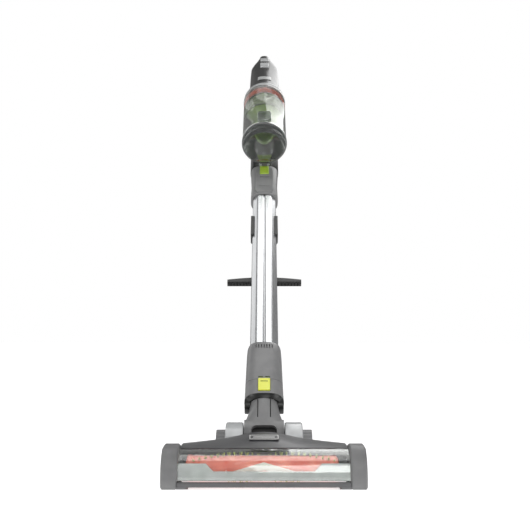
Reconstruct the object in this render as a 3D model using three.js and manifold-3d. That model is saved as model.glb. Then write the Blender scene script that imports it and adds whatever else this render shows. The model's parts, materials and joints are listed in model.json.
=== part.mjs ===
// Cordless stick vacuum cleaner: floor head, steering neck, tube, clip-on tool, dust cup and hand unit.
// Millimetres. The origin is on the floor under the neck's hinge: +X right, +Y to the user, +Z up.
// The stick has its own frame: origin on the hinge, +Z along the tube, -Y out of its front face.

import * as THREE from 'three';
import { mergeVertices } from 'three/addons/utils/BufferGeometryUtils.js';
import Module from 'manifold-3d';

const wasm = await Module();
wasm.setup();

// ---------- driving dimensions ----------

const GAP = 0.3; // between pieces that touch
const RUN = 0.5; // round a piece that turns or slides
const WALL = 2.2; // moulded wall
const FINE = 28; // sides of a large round piece
const MEDIUM = 18;
const COARSE = 10;

// floor head
const HEAD_WIDTH = 262;
const HEAD_REACH = 133; // hinge to the front of the bumper
const CAP_WIDTH = 21;
const CAP_HEIGHT = 48.5;
const CAP_BACK = -78;
const BRUSH_RADIUS = 20;
const TUFT_REACH = 5; // how far the tufts stand out of the brush's core
const BRUSH_REACH = 103; // hinge to the brush's axis
const FLOOR_CLEARANCE = 0.5;
const CHAMBER_CLEARANCE = 2.5;
const BASE_LIFT = 3;
const BODY_BACK = -53;
const BUMPER_LOW = 2.6;
const BUMPER_HIGH = 9.2;
const BUMPER_THICK = 4.5;
const WINDOW_TOP_Y = -99;
const WINDOW_TOP_Z = 44.5;
const WINDOW_THICK = 2;
const HOOD_THICK = 2.4;
const DECK_BESIDE = 25.5; // how far the deck reaches past the neck on each side
const DECK_BACK = 26;
const DECK_TOP = 16;
const HINGE_HEIGHT = 40;
const WHEEL_RADIUS = 20.5;
const WHEEL_WIDTH = 14;
const WHEEL_Y = 22;
const WHEEL_RIBS = 20;
const AXLE_RADIUS = 2.7;
const SHOULDER_TOP = 57;
const SHOULDER_WIDTH = 25;
const TUFTS_PER_SIDE = 6;
const TUFT_PITCH = 15;
const TUFT_RADIUS = 1.9;
const BRUSH_TWIST = 0.0175; // radians of turn for each millimetre from the middle
const STUB_STEP = 3.5; // the core down to the stub that carries its pulley
const PULLEY_RIM = 2; // the brush's pulley past that stub
const DRIVE_RATIO = 2; // turns of the motor for one of the brush
const BELT_X = 97.5;
const BELT_WIDTH = 3;
const MOTOR_AT = [-68, 15.5];
const MOTOR_BODY_RADIUS = 9.5;
const MOTOR_LENGTH = 56;

// neck and collar
const RECLINE = 47.94; // degrees back from upright, as it stands here
const NECK_HALF = 28.5;
const NECK_TOP_RADIUS = 22.3;
const NECK_DEPTH = 20;
const NECK_TOP = 56;
const ARM_INNER = 18.3;
const PIN_RADIUS = 4;
const DUCT_BORE = 14;
const SPIGOT_RADIUS = 18.3;
const SPIGOT_LENGTH = 41.5;
const EAR_LOW = 40;
const CUFF_LOW = 47.5;
const COLLAR_LOW = 54;
const COLLAR_LENGTH = 105;
const COLLAR_HALF = 29.7;
const COLLAR_DEPTH = 25.9;
const BUTTON_WIDTH = 17.8;
const BUTTON_LENGTH = 22.7;
const BUTTON_LOW = 58.3;

// tube and tool
const TUBE_WIDTH = 45;
const TUBE_DEPTH = 38;
const TUBE_FLAT = 26; // width of the flat front
const TUBE_SHOWN = 390; // between the collar and the upper connector
const TUBE_INSERT = 40;
const TUBE_WALL = 1.6;
const TUBE_SPIGOT_RADIUS = 16.6;
const CLIP_LOW = 434;
const CLIP_LENGTH = 56;
const CLIP_WALL = 2.7;
const TOOL_HALF = 68;
const TOOL_NECK_RADIUS = 15.5;
const TOOL_BACK = 44; // tube axis to tool axis
const TOOL_LOW = 358;
const TOOL_DEPTH = 12;
const TEETH_PER_SIDE = 7;

// upper connector and inlet duct
const CONNECTOR_LENGTH = 96;
const CONNECTOR_HALF = 27;
const CONNECTOR_DEPTH = 22;
const LATCH_WIDTH = 18.6;
const LATCH_LENGTH = 28;
const DUCT_HALF = 29;
const DUCT_DEPTH = 22;

// dust cup
const CUP_RADIUS = 45;
const CUP_WALL = 2;
const CUP_SPACE = 8; // between the inlet duct and the cup
const CUP_LENGTH = 157;
const LID_RISE = 4; // above the connector's top, at the cup's axis
const LID_SLANT = 6.5; // degrees, its front edge the higher
const LID_THICK = 5;
const RING_HEIGHT = 22;
const CUP_LATCH_WIDTH = 28;
const CUP_LATCH_LENGTH = 33;
const FILTER_PLEATS = 28;
const HINGE_PIN = 1.3;
const HINGE_STANDOFF = 2.9; // cup wall to the axis of the lid's hinge pin

// hand unit
const HOUSING_HALF = 35;
const HOUSING_HEIGHT = 250;
const HANDLE_HALF = 13.5;
const HANDLE_DEPTH = 13;
const MOTOR_RADIUS = 23;
const BATTERY_HALF = 27;
const BATTERY_DEPTH = 56;
const BATTERY_HEIGHT = 50;
const BATTERY_FRONT = 62;

// ---------- sizes worked out from them ----------

const CORE_RADIUS = BRUSH_RADIUS - TUFT_REACH;
const STUB_RADIUS = CORE_RADIUS - STUB_STEP;
const BRUSH_PULLEY_RADIUS = STUB_RADIUS + PULLEY_RIM;
const MOTOR_PULLEY_RADIUS = BRUSH_PULLEY_RADIUS / DRIVE_RATIO;
const BRUSH_Y = -BRUSH_REACH;
const BRUSH_Z = BRUSH_RADIUS + FLOOR_CLEARANCE;
const BODY_HALF = HEAD_WIDTH / 2 - CAP_WIDTH - GAP;
const FRONT_Y = -HEAD_REACH;
const CHAMBER_RADIUS = BRUSH_RADIUS + CHAMBER_CLEARANCE;
const WINDOW_LOW_Z = BUMPER_HIGH + GAP + 1;
const DECK_HALF = NECK_HALF + DECK_BESIDE;
const WHEEL_INNER = DECK_HALF + 2;
const CHEEK_INNER = NECK_HALF + RUN + GAP;
const CHEEK_OUTER = CHEEK_INNER + 5;
const SHOULDER_INNER = NECK_HALF + RUN + 2 * GAP;
const SHOULDER_OUTER = SHOULDER_INNER + SHOULDER_WIDTH;
const SPIGOT_TOP = NECK_TOP + SPIGOT_LENGTH;
const COLLAR_TOP = COLLAR_LOW + COLLAR_LENGTH;
const TUBE_LOW = COLLAR_TOP + GAP;
const CONNECTOR_LOW = COLLAR_TOP + TUBE_SHOWN;
const CONNECTOR_TOP = CONNECTOR_LOW + CONNECTOR_LENGTH;
const TUBE_TOP = CONNECTOR_LOW + TUBE_INSERT;
const LATCH_LOW = CONNECTOR_TOP - LATCH_LENGTH - 3;
const CUP_FORWARD = DUCT_DEPTH + CUP_SPACE + CUP_RADIUS; // tube axis to cup axis
const HINGE_OUT = CUP_RADIUS + HINGE_STANDOFF; // cup axis to the lid's hinge pin
const CUP_Y = -CUP_FORWARD;
const LID_Z = CONNECTOR_TOP + LID_RISE;
const CUP_TOP = LID_Z + CUP_LENGTH;
const RING_TOP = CUP_TOP + RING_HEIGHT;
const HOUSING_LOW = RING_TOP + GAP;
const HOUSING_TOP = HOUSING_LOW + HOUSING_HEIGHT;
const BATTERY_LOW = HOUSING_LOW + 14;
const BATTERY_TOP = BATTERY_LOW + BATTERY_HEIGHT;

// ---------- joining and cutting ----------

function toSolid(geometry) {
  const bare = geometry.clone();
  bare.deleteAttribute('normal');
  bare.deleteAttribute('uv');
  const merged = mergeVertices(bare, 1e-4);
  const corners = merged.index.array;
  const kept = [];
  for (let i = 0; i < corners.length; i += 3) {
    const [a, b, c] = [corners[i], corners[i + 1], corners[i + 2]];
    if (a !== b && b !== c && c !== a) kept.push(a, b, c);
  }
  const vertProperties = new Float32Array(merged.attributes.position.array);
  return new wasm.Manifold(new wasm.Mesh({ numProp: 3, vertProperties, triVerts: new Uint32Array(kept) }));
}

function toGeometry(solid) {
  const mesh = solid.getMesh();
  const geometry = new THREE.BufferGeometry();
  geometry.setAttribute('position', new THREE.BufferAttribute(new Float32Array(mesh.vertProperties), 3));
  geometry.setIndex(new THREE.BufferAttribute(new Uint32Array(mesh.triVerts), 1));
  return geometry;
}

function combine(first, others, step) {
  return toGeometry(others.reduce((whole, piece) => step(whole, toSolid(piece)), toSolid(first)));
}

const join = (first, ...others) => combine(first, others, (a, b) => a.add(b));
const cut = (first, ...others) => combine(first, others, (a, b) => a.subtract(b));
const common = (first, ...others) => combine(first, others, (a, b) => a.intersect(b));

// ---------- shapes ----------

function box(x, y, z) {
  const geometry = new THREE.BoxGeometry(x[1] - x[0], y[1] - y[0], z[1] - z[0]);
  return geometry.translate((x[0] + x[1]) / 2, (y[0] + y[1]) / 2, (z[0] + z[1]) / 2);
}

const mirrored = (half) => [-half, half];

function rodZ(radius, z, at = [0, 0], sides = MEDIUM) {
  const geometry = new THREE.CylinderGeometry(radius, radius, z[1] - z[0], sides);
  return geometry.rotateX(Math.PI / 2).translate(at[0], at[1], (z[0] + z[1]) / 2);
}

function rodX(radius, x, at, sides = MEDIUM) {
  const geometry = new THREE.CylinderGeometry(radius, radius, x[1] - x[0], sides);
  return geometry.rotateZ(Math.PI / 2).translate((x[0] + x[1]) / 2, at[0], at[1]);
}

function extrude(shape, depth, bevel, corner) {
  return new THREE.ExtrudeGeometry(shape, {
    depth: depth - 2 * bevel,
    bevelEnabled: bevel > 0,
    bevelThickness: bevel,
    bevelSize: bevel,
    bevelOffset: -bevel,
    bevelSegments: 1,
    curveSegments: corner,
  }).translate(0, 0, bevel);
}

// an outline in (y, z) carried along X, one in (x, z) carried along Y, and one in (x, y) carried along Z
function alongX(shape, x, bevel = 0, corner = 8) {
  const turn = new THREE.Matrix4().set(0, 0, 1, 0, 1, 0, 0, 0, 0, 1, 0, 0, 0, 0, 0, 1);
  return extrude(shape, x[1] - x[0], bevel, corner).applyMatrix4(turn).translate(x[0], 0, 0);
}

function alongY(shape, y, bevel = 0, corner = 8) {
  return extrude(shape, y[1] - y[0], bevel, corner).rotateX(Math.PI / 2).translate(0, y[1], 0);
}

function alongZ(shape, z, bevel = 0, corner = 8) {
  return extrude(shape, z[1] - z[0], bevel, corner).translate(0, 0, z[0]);
}

function outline(points) {
  return new THREE.Shape(points.map(([a, b]) => new THREE.Vector2(a, b)));
}

function roundedRect(a, b, radius) {
  const shape = new THREE.Shape();
  shape.moveTo(a[0] + radius, b[0]);
  shape.lineTo(a[1] - radius, b[0]);
  shape.absarc(a[1] - radius, b[0] + radius, radius, -Math.PI / 2, 0);
  shape.lineTo(a[1], b[1] - radius);
  shape.absarc(a[1] - radius, b[1] - radius, radius, 0, Math.PI / 2);
  shape.lineTo(a[0] + radius, b[1]);
  shape.absarc(a[0] + radius, b[1] - radius, radius, Math.PI / 2, Math.PI);
  shape.lineTo(a[0], b[0] + radius);
  shape.absarc(a[0] + radius, b[0] + radius, radius, Math.PI, 1.5 * Math.PI);
  return shape;
}

// a ring or solid of revolution about Z, its outline given as (radius, z)
function turned(points, at = [0, 0], sides = FINE) {
  const profile = points.map(([radius, z]) => new THREE.Vector2(radius, z));
  return new THREE.LatheGeometry(profile, sides).rotateX(Math.PI / 2).translate(at[0], at[1], 0);
}

// a solid with a rounded section at each station: its height, half sizes, y and power (2 is an ellipse)
function loft(stations, sides = FINE) {
  const layers = stations.length - 1;
  const geometry = new THREE.CylinderGeometry(1, 1, layers, sides, layers).rotateX(Math.PI / 2);
  const points = geometry.attributes.position;
  for (let i = 0; i < points.count; i += 1) {
    const station = stations[Math.round(points.getZ(i) + layers / 2)];
    const share = 2 / (station.power ?? 2);
    const bend = (value) => Math.sign(value) * Math.abs(value) ** share;
    const across = Math.hypot(points.getX(i), points.getY(i)) < 0.5 ? 0 : 1;
    const x = across * bend(Math.abs(points.getX(i)) < 1e-6 ? 0 : points.getX(i)) * station.wide;
    const y = across * bend(Math.abs(points.getY(i)) < 1e-6 ? 0 : points.getY(i)) * station.deep;
    points.setXYZ(i, x, y + (station.y ?? 0), station.at);
  }
  return geometry;
}

// the same stations with each half size changed by one offset
function grown(stations, offset) {
  return stations.map((station) => ({
    ...station,
    wide: station.wide + offset,
    deep: station.deep + offset,
  }));
}

function stretched(stations, low, high) {
  const last = stations.length - 1;
  const ends = { 0: low, [last]: high };
  return stations.map((station, i) => ({ ...station, at: station.at + (ends[i] ?? 0) }));
}

// ---------- the tree of named pieces ----------

const vacuum = new THREE.Group();
const stick = new THREE.Group();
stick.position.z = HINGE_HEIGHT;
stick.rotation.x = -THREE.MathUtils.degToRad(RECLINE);
vacuum.add(stick);

const finishes = {
  grey: { color: '#858585', roughness: 0.45, metalness: 0 },
  hood: { color: '#6b6b6b', roughness: 0.4, metalness: 0 },
  cap: { color: '#7f7f7f', roughness: 0.45, metalness: 0 },
  dark: { color: '#2a2a2a', roughness: 0.35, metalness: 0 },
  black: { color: '#151515', roughness: 0.6, metalness: 0 },
  gloss: { color: '#c9cbcc', roughness: 0.12, metalness: 0 },
  clear: { color: '#e6ece8', roughness: 0.05, metalness: 0 },
  tinted: { color: '#5a6350', roughness: 0.05, metalness: 0 },
  lime: { color: '#a8c83c', roughness: 0.35, metalness: 0 },
  yellow: { color: '#f2f75a', roughness: 0.35, metalness: 0 },
  green: { color: '#6e9010', roughness: 0.4, metalness: 0 },
  orange: { color: '#b5523c', roughness: 0.8, metalness: 0 },
  red: { color: '#c8483c', roughness: 0.5, metalness: 0 },
  tuft: { color: '#9ab63a', roughness: 0.8, metalness: 0 },
  rubber: { color: '#1c1c1c', roughness: 0.85, metalness: 0 },
  aluminium: { color: '#c8cacc', roughness: 0.3, metalness: 1 },
  steel: { color: '#a9abad', roughness: 0.3, metalness: 1 },
};

function add(parent, name, geometry, finish) {
  const mesh = new THREE.Mesh(geometry, new THREE.MeshStandardMaterial(finishes[finish]));
  mesh.name = name;
  parent.add(mesh);
}

const sides = [['left', -1], ['right', 1]];
const span = (side, near, far) => (side > 0 ? [near, far] : [-far, -near]);

// ---------- floor head ----------

// the height of the hood's back edge at x: a low ridge that swells up behind the neck
function hoodBack(x) {
  return 50.4 - 0.094 * Math.hypot(x, 10) + 4 / (1 + (x / 36) ** 4);
}

// the hood is a thin shell from the window's top edge to a back edge that sweeps in towards the neck
function hoodPoint(x, along) {
  const swell = 1 / (1 + Math.abs(x / 46) ** 3);
  const front = [WINDOW_TOP_Y + 1.5, WINDOW_TOP_Z];
  const back = [BODY_BACK - 1 + 9 * swell, hoodBack(x)];
  const crown = 6 * along * (1 - along);
  return [front[0] + (back[0] - front[0]) * along, front[1] + (back[1] - front[1]) * along + crown];
}

function hoodShell() {
  const geometry = new THREE.BoxGeometry(2 * BODY_HALF, 1, 1, 24, 6, 1);
  const points = geometry.attributes.position;
  for (let i = 0; i < points.count; i += 1) {
    const x = points.getX(i);
    const [y, z] = hoodPoint(x, points.getY(i) + 0.5);
    const drop = points.getZ(i) > 0 ? 0 : HOOD_THICK;
    points.setXYZ(i, x, y, z - drop);
  }
  return geometry;
}

function chamberWall() {
  const low = Math.asin((BASE_LIFT - BRUSH_Z) / CHAMBER_RADIUS);
  const high = THREE.MathUtils.degToRad(50);
  const outer = CHAMBER_RADIUS + WALL;
  const shape = new THREE.Shape();
  shape.absarc(BRUSH_Y, BRUSH_Z, CHAMBER_RADIUS, low, high, false);
  shape.absarc(BRUSH_Y, BRUSH_Z, outer, high, Math.asin((BASE_LIFT - BRUSH_Z) / outer), true);
  return alongX(shape, mirrored(BODY_HALF), 0, 10);
}

function hingeCheek(side) {
  const cheek = new THREE.Shape();
  cheek.moveTo(-16, DECK_TOP - 1);
  cheek.lineTo(16, DECK_TOP - 1);
  cheek.lineTo(12, HINGE_HEIGHT);
  cheek.absarc(0, HINGE_HEIGHT, 12, 0, Math.PI);
  return alongX(cheek, span(side, CHEEK_INNER, CHEEK_OUTER));
}

// the wall under the hood's back edge
function backWall() {
  const steps = 16;
  const top = Array.from({ length: steps + 1 }, (_, i) => {
    const x = BODY_HALF - (2 * BODY_HALF * i) / steps;
    return [x, hoodBack(x) - HOOD_THICK - 1.8];
  });
  const shape = outline([[-BODY_HALF, BASE_LIFT], [BODY_HALF, BASE_LIFT], ...top]);
  return alongY(shape, [BODY_BACK - WALL, BODY_BACK]);
}

function axleHub(side) {
  const x = span(side, DECK_HALF - 7, DECK_HALF);
  const boss = rodX(AXLE_RADIUS + 3, x, [WHEEL_Y - 2, WHEEL_RADIUS - 3.5], COARSE);
  return join(boss, box(x, [WHEEL_Y - 8, DECK_BACK], [DECK_TOP - 1, WHEEL_RADIUS + 5]));
}

function nozzleBase() {
  const floor = [BASE_LIFT, BASE_LIFT + WALL];
  const tray = box(mirrored(BODY_HALF), [BRUSH_Y + CHAMBER_RADIUS - 5.5, BODY_BACK], floor);
  const deck = box(mirrored(DECK_HALF), [BODY_BACK - WALL, DECK_BACK], [BASE_LIFT, DECK_TOP]);
  const cheeks = sides.map(([, side]) => hingeCheek(side));
  const hubs = sides.map(([, side]) => axleHub(side));
  const hollow = box(mirrored(DECK_HALF - 3), [BODY_BACK + 3, DECK_BACK - 3], [BASE_LIFT - 1, DECK_TOP - 3]);
  const port = box(mirrored(17), [-84, -50], [17.6, 36.4]);
  const beltX = [BELT_X - 2.5, BELT_X + BELT_WIDTH + 2.5];
  const beltSlot = box(beltX, [-95, -60], [BASE_LIFT + WALL + 0.1, BRUSH_Z + 18]);
  const pinBores = sides.map(([, side]) => (
    rodX(PIN_RADIUS + GAP, span(side, 20, 50), [0, HINGE_HEIGHT], COARSE)));
  const axleBores = sides.map(([, side]) => (
    rodX(AXLE_RADIUS + GAP, span(side, DECK_HALF - 9, DECK_HALF + 8), [WHEEL_Y, WHEEL_RADIUS], COARSE)));
  const whole = cut(join(chamberWall(), tray, backWall(), deck, ...cheeks), hollow, port, beltSlot);
  return cut(join(whole, ...hubs), ...pinBores, ...axleBores);
}

function windowShape(inset, thick) {
  const low = [FRONT_Y + 2 + inset, WINDOW_LOW_Z];
  const high = [WINDOW_TOP_Y, WINDOW_TOP_Z - 1 - inset];
  const bulge = [FRONT_Y + 3 + inset, WINDOW_TOP_Z - 3.5 - inset];
  const shape = new THREE.Shape();
  shape.moveTo(low[0], low[1]);
  shape.quadraticCurveTo(bulge[0], bulge[1], high[0], high[1]);
  shape.lineTo(high[0], high[1] - thick);
  shape.quadraticCurveTo(bulge[0] + thick, bulge[1] - thick, low[0] + thick, low[1]);
  return shape;
}

function windowTrim() {
  const half = BODY_HALF - GAP;
  const band = alongX(windowShape(WINDOW_THICK + GAP, 1.4), mirrored(half), 0, 10);
  const low = WINDOW_LOW_Z - 1;
  const front = outline([
    [-half, low], [half, low], [half, low + 20.5], [74, low + 20.5], [64, low + 12],
    [-64, low + 12], [-74, low + 20.5], [-half, low + 20.5],
  ]);
  return common(band, alongY(front, [FRONT_Y, BRUSH_Y]));
}

function endCap(side) {
  const shape = new THREE.Shape();
  shape.moveTo(FRONT_Y + 1, 0);
  shape.quadraticCurveTo(FRONT_Y - 2, 10, FRONT_Y + 1, 22);
  shape.quadraticCurveTo(FRONT_Y + 5, CAP_HEIGHT - 8, FRONT_Y + 21, CAP_HEIGHT);
  shape.lineTo(CAP_BACK - 14, CAP_HEIGHT);
  shape.quadraticCurveTo(CAP_BACK, CAP_HEIGHT - 1, CAP_BACK, CAP_HEIGHT - 16);
  shape.lineTo(CAP_BACK, 5);
  shape.lineTo(CAP_BACK - 5, 0);
  const cap = alongX(shape, span(side, HEAD_WIDTH / 2 - CAP_WIDTH, HEAD_WIDTH / 2), 2, 6);
  const inner = side * (HEAD_WIDTH / 2 - CAP_WIDTH);
  const foot = outline([[1, 0], [-14, 0], [-4, 8], [1, 8]].map(([x, z]) => [inner + side * x, z]));
  const lip = alongY(foot, [FRONT_Y + 2, FRONT_Y + BUMPER_THICK + 8]);
  return cut(join(cap, lip), bumperRoom());
}

function bumperRoom() {
  const y = [FRONT_Y - GAP, FRONT_Y + BUMPER_THICK + GAP];
  return box(mirrored(BODY_HALF + GAP), y, [BUMPER_LOW - GAP, BUMPER_HIGH + GAP]);
}

function bumper() {
  const shape = roundedRect([FRONT_Y, FRONT_Y + BUMPER_THICK], [BUMPER_LOW, BUMPER_HIGH], 1.5);
  return alongX(shape, mirrored(BODY_HALF), 0, 4);
}

function suctionElbow() {
  const barrelHalf = ARM_INNER - RUN;
  const channel = box(mirrored(16), [BRUSH_Y + CHAMBER_RADIUS + 4, -6], [18, 36]);
  const channelBore = box(mirrored(14), [BRUSH_Y + CHAMBER_RADIUS + 3, -2], [20, 34]);
  const barrel = rodX(DUCT_BORE - RUN, mirrored(barrelHalf), [0, HINGE_HEIGHT]);
  const barrelBore = rodX(DUCT_BORE - RUN - WALL, mirrored(barrelHalf - 2), [0, HINGE_HEIGHT], COARSE);
  const mouth = box(mirrored(12), [-1, 12], [HINGE_HEIGHT + 2, HINGE_HEIGHT + 16]);
  return cut(join(channel, barrel), channelBore, barrelBore, mouth);
}

// a glossy cover over the hinge's bearing, open underneath and on its side by the neck
function shoulderCover(side) {
  const cover = (inset) => {
    const shape = new THREE.Shape();
    shape.moveTo(-46 + inset, DECK_TOP + GAP + 4);
    shape.quadraticCurveTo(-34 + inset, SHOULDER_TOP - 2 - inset, -6, SHOULDER_TOP - inset);
    shape.quadraticCurveTo(18 - inset, SHOULDER_TOP + 1 - inset, 25 - inset, SHOULDER_TOP - 22 - inset);
    shape.lineTo(25.5 - inset, DECK_TOP + GAP);
    shape.lineTo(-40 + inset, DECK_TOP + GAP);
    return shape;
  };
  const outer = alongX(cover(0), span(side, SHOULDER_INNER, SHOULDER_OUTER), 1.5, 8);
  const hollow = alongX(cover(2.5), span(side, SHOULDER_INNER - 1, SHOULDER_OUTER - 2.5), 0, 6);
  const openBelow = box(span(side, SHOULDER_INNER - 1, SHOULDER_OUTER - 4), [-36, 22], [0, DECK_TOP + 8]);
  const hoodRoom = box(span(side, 20, 80), [BODY_BACK - 20, BODY_BACK + 9], [0, 58]);
  const hub = box(span(side, DECK_HALF - 10, DECK_HALF + 2), [WHEEL_Y - 8.5, 40], [0, WHEEL_RADIUS + 5.5]);
  return cut(outer, hollow, openBelow, hoodRoom, hub);
}

function wheel(side) {
  const shape = new THREE.Shape();
  const steps = WHEEL_RIBS * 4;
  for (let i = 0; i < steps; i += 1) {
    const angle = (2 * Math.PI * i) / steps + Math.PI / steps;
    const radius = i % 4 < 2 ? WHEEL_RADIUS / Math.cos(Math.PI / steps) : WHEEL_RADIUS - 1;
    const point = [radius * Math.sin(angle), -radius * Math.cos(angle)];
    if (i === 0) shape.moveTo(...point);
    else shape.lineTo(...point);
  }
  const tread = alongX(shape, span(side, WHEEL_INNER, WHEEL_INNER + WHEEL_WIDTH));
  const floor = 0.02;
  tread.translate(0, WHEEL_Y, WHEEL_RADIUS + floor);
  const outside = span(side, WHEEL_INNER + WHEEL_WIDTH - 3, WHEEL_INNER + WHEEL_WIDTH + 1);
  const dish = rodX(WHEEL_RADIUS - 5, outside, [WHEEL_Y, WHEEL_RADIUS]);
  const axis = [WHEEL_Y, WHEEL_RADIUS];
  const outer = WHEEL_INNER + WHEEL_WIDTH;
  const hub = rodX(AXLE_RADIUS + 3, span(side, WHEEL_INNER + 1, outer), axis, COARSE);
  const bore = rodX(AXLE_RADIUS + GAP, span(side, WHEEL_INNER - 2, outer + 2), axis, COARSE);
  return cut(join(cut(tread, dish), hub), bore);
}

function brushCore() {
  const half = BODY_HALF - 8;
  const core = rodX(CORE_RADIUS, [-half, BELT_X - 3], [BRUSH_Y, BRUSH_Z], MEDIUM);
  const stub = rodX(STUB_RADIUS, [BELT_X - 4, half], [BRUSH_Y, BRUSH_Z], MEDIUM);
  const journals = rodX(4, mirrored(BODY_HALF - 1.5), [BRUSH_Y, BRUSH_Z], COARSE);
  return join(core, stub, journals);
}

// two rows of tufts on a thin sleeve, each row a V with its point in the middle
function brushTufts() {
  const half = TUFTS_PER_SIDE * TUFT_PITCH + 1;
  const [inner, outer] = [CORE_RADIUS + GAP, CORE_RADIUS + 1.4];
  const ring = [[inner, -half], [outer, -half], [outer, half], [inner, half]];
  const sleeve = turned([...ring, ring[0]], [0, 0], MEDIUM).rotateY(Math.PI / 2);
  sleeve.translate(0, BRUSH_Y, BRUSH_Z);
  const length = BRUSH_RADIUS - CORE_RADIUS - 1.6;
  const tufts = [];
  for (let row = 0; row < 2; row += 1) {
    for (let i = -TUFTS_PER_SIDE; i <= TUFTS_PER_SIDE; i += 1) {
      const x = i * TUFT_PITCH;
      const angle = Math.PI * (row + 0.25) + BRUSH_TWIST * Math.abs(x);
      const tuft = new THREE.CylinderGeometry(TUFT_RADIUS * 1.2, TUFT_RADIUS, length, 4);
      tuft.translate(0, (BRUSH_RADIUS + CORE_RADIUS + 0.4) / 2, 0).rotateX(angle);
      tufts.push(tuft.translate(x, BRUSH_Y, BRUSH_Z));
    }
  }
  return join(sleeve, ...tufts);
}

function bearing(side) {
  const x = span(side, BODY_HALF - 7, BODY_HALF - 0.5);
  const bore = rodX(4 + RUN, span(side, BODY_HALF - 9, BODY_HALF + 2), [BRUSH_Y, BRUSH_Z], COARSE);
  return cut(rodX(9, x, [BRUSH_Y, BRUSH_Z]), bore);
}

function pulley(radius, at, bore) {
  const rim = rodX(radius, [BELT_X, BELT_X + BELT_WIDTH], at);
  const flanges = [BELT_X - 1.5, BELT_X + BELT_WIDTH].map((x) => rodX(radius + 1.5, [x, x + 1.5], at));
  return cut(join(rim, ...flanges), rodX(bore, [BELT_X - 5, BELT_X + BELT_WIDTH + 5], at));
}

function beltLoop() {
  const [y, z] = MOTOR_AT;
  const reach = Math.hypot(y - BRUSH_Y, z - BRUSH_Z);
  const tilt = Math.atan2(z - BRUSH_Z, y - BRUSH_Y);
  const loop = (offset) => {
    const big = BRUSH_PULLEY_RADIUS + offset;
    const small = MOTOR_PULLEY_RADIUS + offset;
    const lean = Math.acos((big - small) / reach);
    const shape = new THREE.Shape();
    shape.absarc(0, 0, big, lean, 2 * Math.PI - lean, false);
    shape.absarc(reach, 0, small, -lean, lean, false);
    return shape;
  };
  const x = [BELT_X + GAP, BELT_X + BELT_WIDTH - GAP];
  const inner = [BELT_X - 1, BELT_X + BELT_WIDTH + 1];
  const belt = cut(alongX(loop(GAP + 1.1), x, 0, 10), alongX(loop(GAP), inner, 0, 10));
  return belt.rotateX(tilt).translate(0, BRUSH_Y, BRUSH_Z);
}

function brushMotor() {
  const can = rodX(MOTOR_BODY_RADIUS, [BELT_X - MOTOR_LENGTH - 6, BELT_X - 6], MOTOR_AT);
  const shaft = rodX(1.5, [BELT_X - 7, BELT_X + BELT_WIDTH + 1], MOTOR_AT, COARSE);
  return join(can, shaft);
}

function emblemPlate() {
  const along = 0.5;
  const [y, z] = hoodPoint(0, along);
  const [yNext, zNext] = hoodPoint(0, along + 0.05);
  const tilt = Math.atan2(zNext - z, yNext - y);
  const plate = alongZ(roundedRect([-20, 20], [-7.5, 7.5], 2), [0, 1.2], 0.3, 3);
  return plate.translate(0, 0, GAP + 0.2).rotateX(tilt).translate(0, y, z);
}

for (const [name, side] of sides) {
  const axleX = span(side, DECK_HALF - 8.5, WHEEL_INNER + WHEEL_WIDTH + 0.5);
  const pinX = span(side, ARM_INNER + GAP, CHEEK_OUTER);
  add(vacuum, `end_cap_${name}`, endCap(side), 'cap');
  add(vacuum, `shoulder_${name}`, shoulderCover(side), 'gloss');
  add(vacuum, `wheel_${name}`, wheel(side), 'grey');
  add(vacuum, `wheel_axle_${name}`, rodX(AXLE_RADIUS, axleX, [WHEEL_Y, WHEEL_RADIUS], COARSE), 'steel');
  add(vacuum, `brush_bearing_${name}`, bearing(side), 'black');
  add(vacuum, `hinge_pin_${name}`, rodX(PIN_RADIUS, pinX, [0, HINGE_HEIGHT], COARSE), 'steel');
}

function solePlate() {
  const y = [BODY_BACK + 3.3, DECK_BACK - 3.3];
  return alongZ(roundedRect(mirrored(DECK_HALF - 3.3), y, 3), [BASE_LIFT, BASE_LIFT + 2]);
}

function squeegee() {
  const front = BRUSH_Y + CHAMBER_RADIUS;
  return box(mirrored(BODY_HALF - 4), [front, front + 2.5], [0.6, BASE_LIFT - GAP]);
}

function rearGlide() {
  return alongZ(roundedRect(mirrored(30), mirrored(12), 4), [0, BASE_LIFT - GAP], 0, 3);
}

add(vacuum, 'nozzle_base', nozzleBase(), 'dark');
add(vacuum, 'nozzle_hood', hoodShell(), 'hood');
add(vacuum, 'emblem_plate', emblemPlate(), 'gloss');
add(vacuum, 'brush_window', alongX(windowShape(0, WINDOW_THICK), mirrored(BODY_HALF), 0, 10), 'clear');
add(vacuum, 'window_trim', windowTrim(), 'gloss');
add(vacuum, 'front_bumper', bumper(), 'grey');
add(vacuum, 'suction_elbow', suctionElbow(), 'black');
add(vacuum, 'sole_plate', solePlate(), 'black');
add(vacuum, 'rear_glide', rearGlide(), 'rubber');
add(vacuum, 'squeegee', squeegee(), 'rubber');
add(vacuum, 'brush_core', brushCore(), 'red');
add(vacuum, 'brush_tufts', brushTufts(), 'tuft');
add(vacuum, 'brush_pulley', pulley(BRUSH_PULLEY_RADIUS, [BRUSH_Y, BRUSH_Z], STUB_RADIUS + GAP), 'black');
add(vacuum, 'motor_pulley', pulley(MOTOR_PULLEY_RADIUS, MOTOR_AT, 1.8), 'steel');
add(vacuum, 'drive_belt', beltLoop(), 'rubber');
add(vacuum, 'brush_motor', brushMotor(), 'steel');

// ---------- neck ----------

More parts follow.
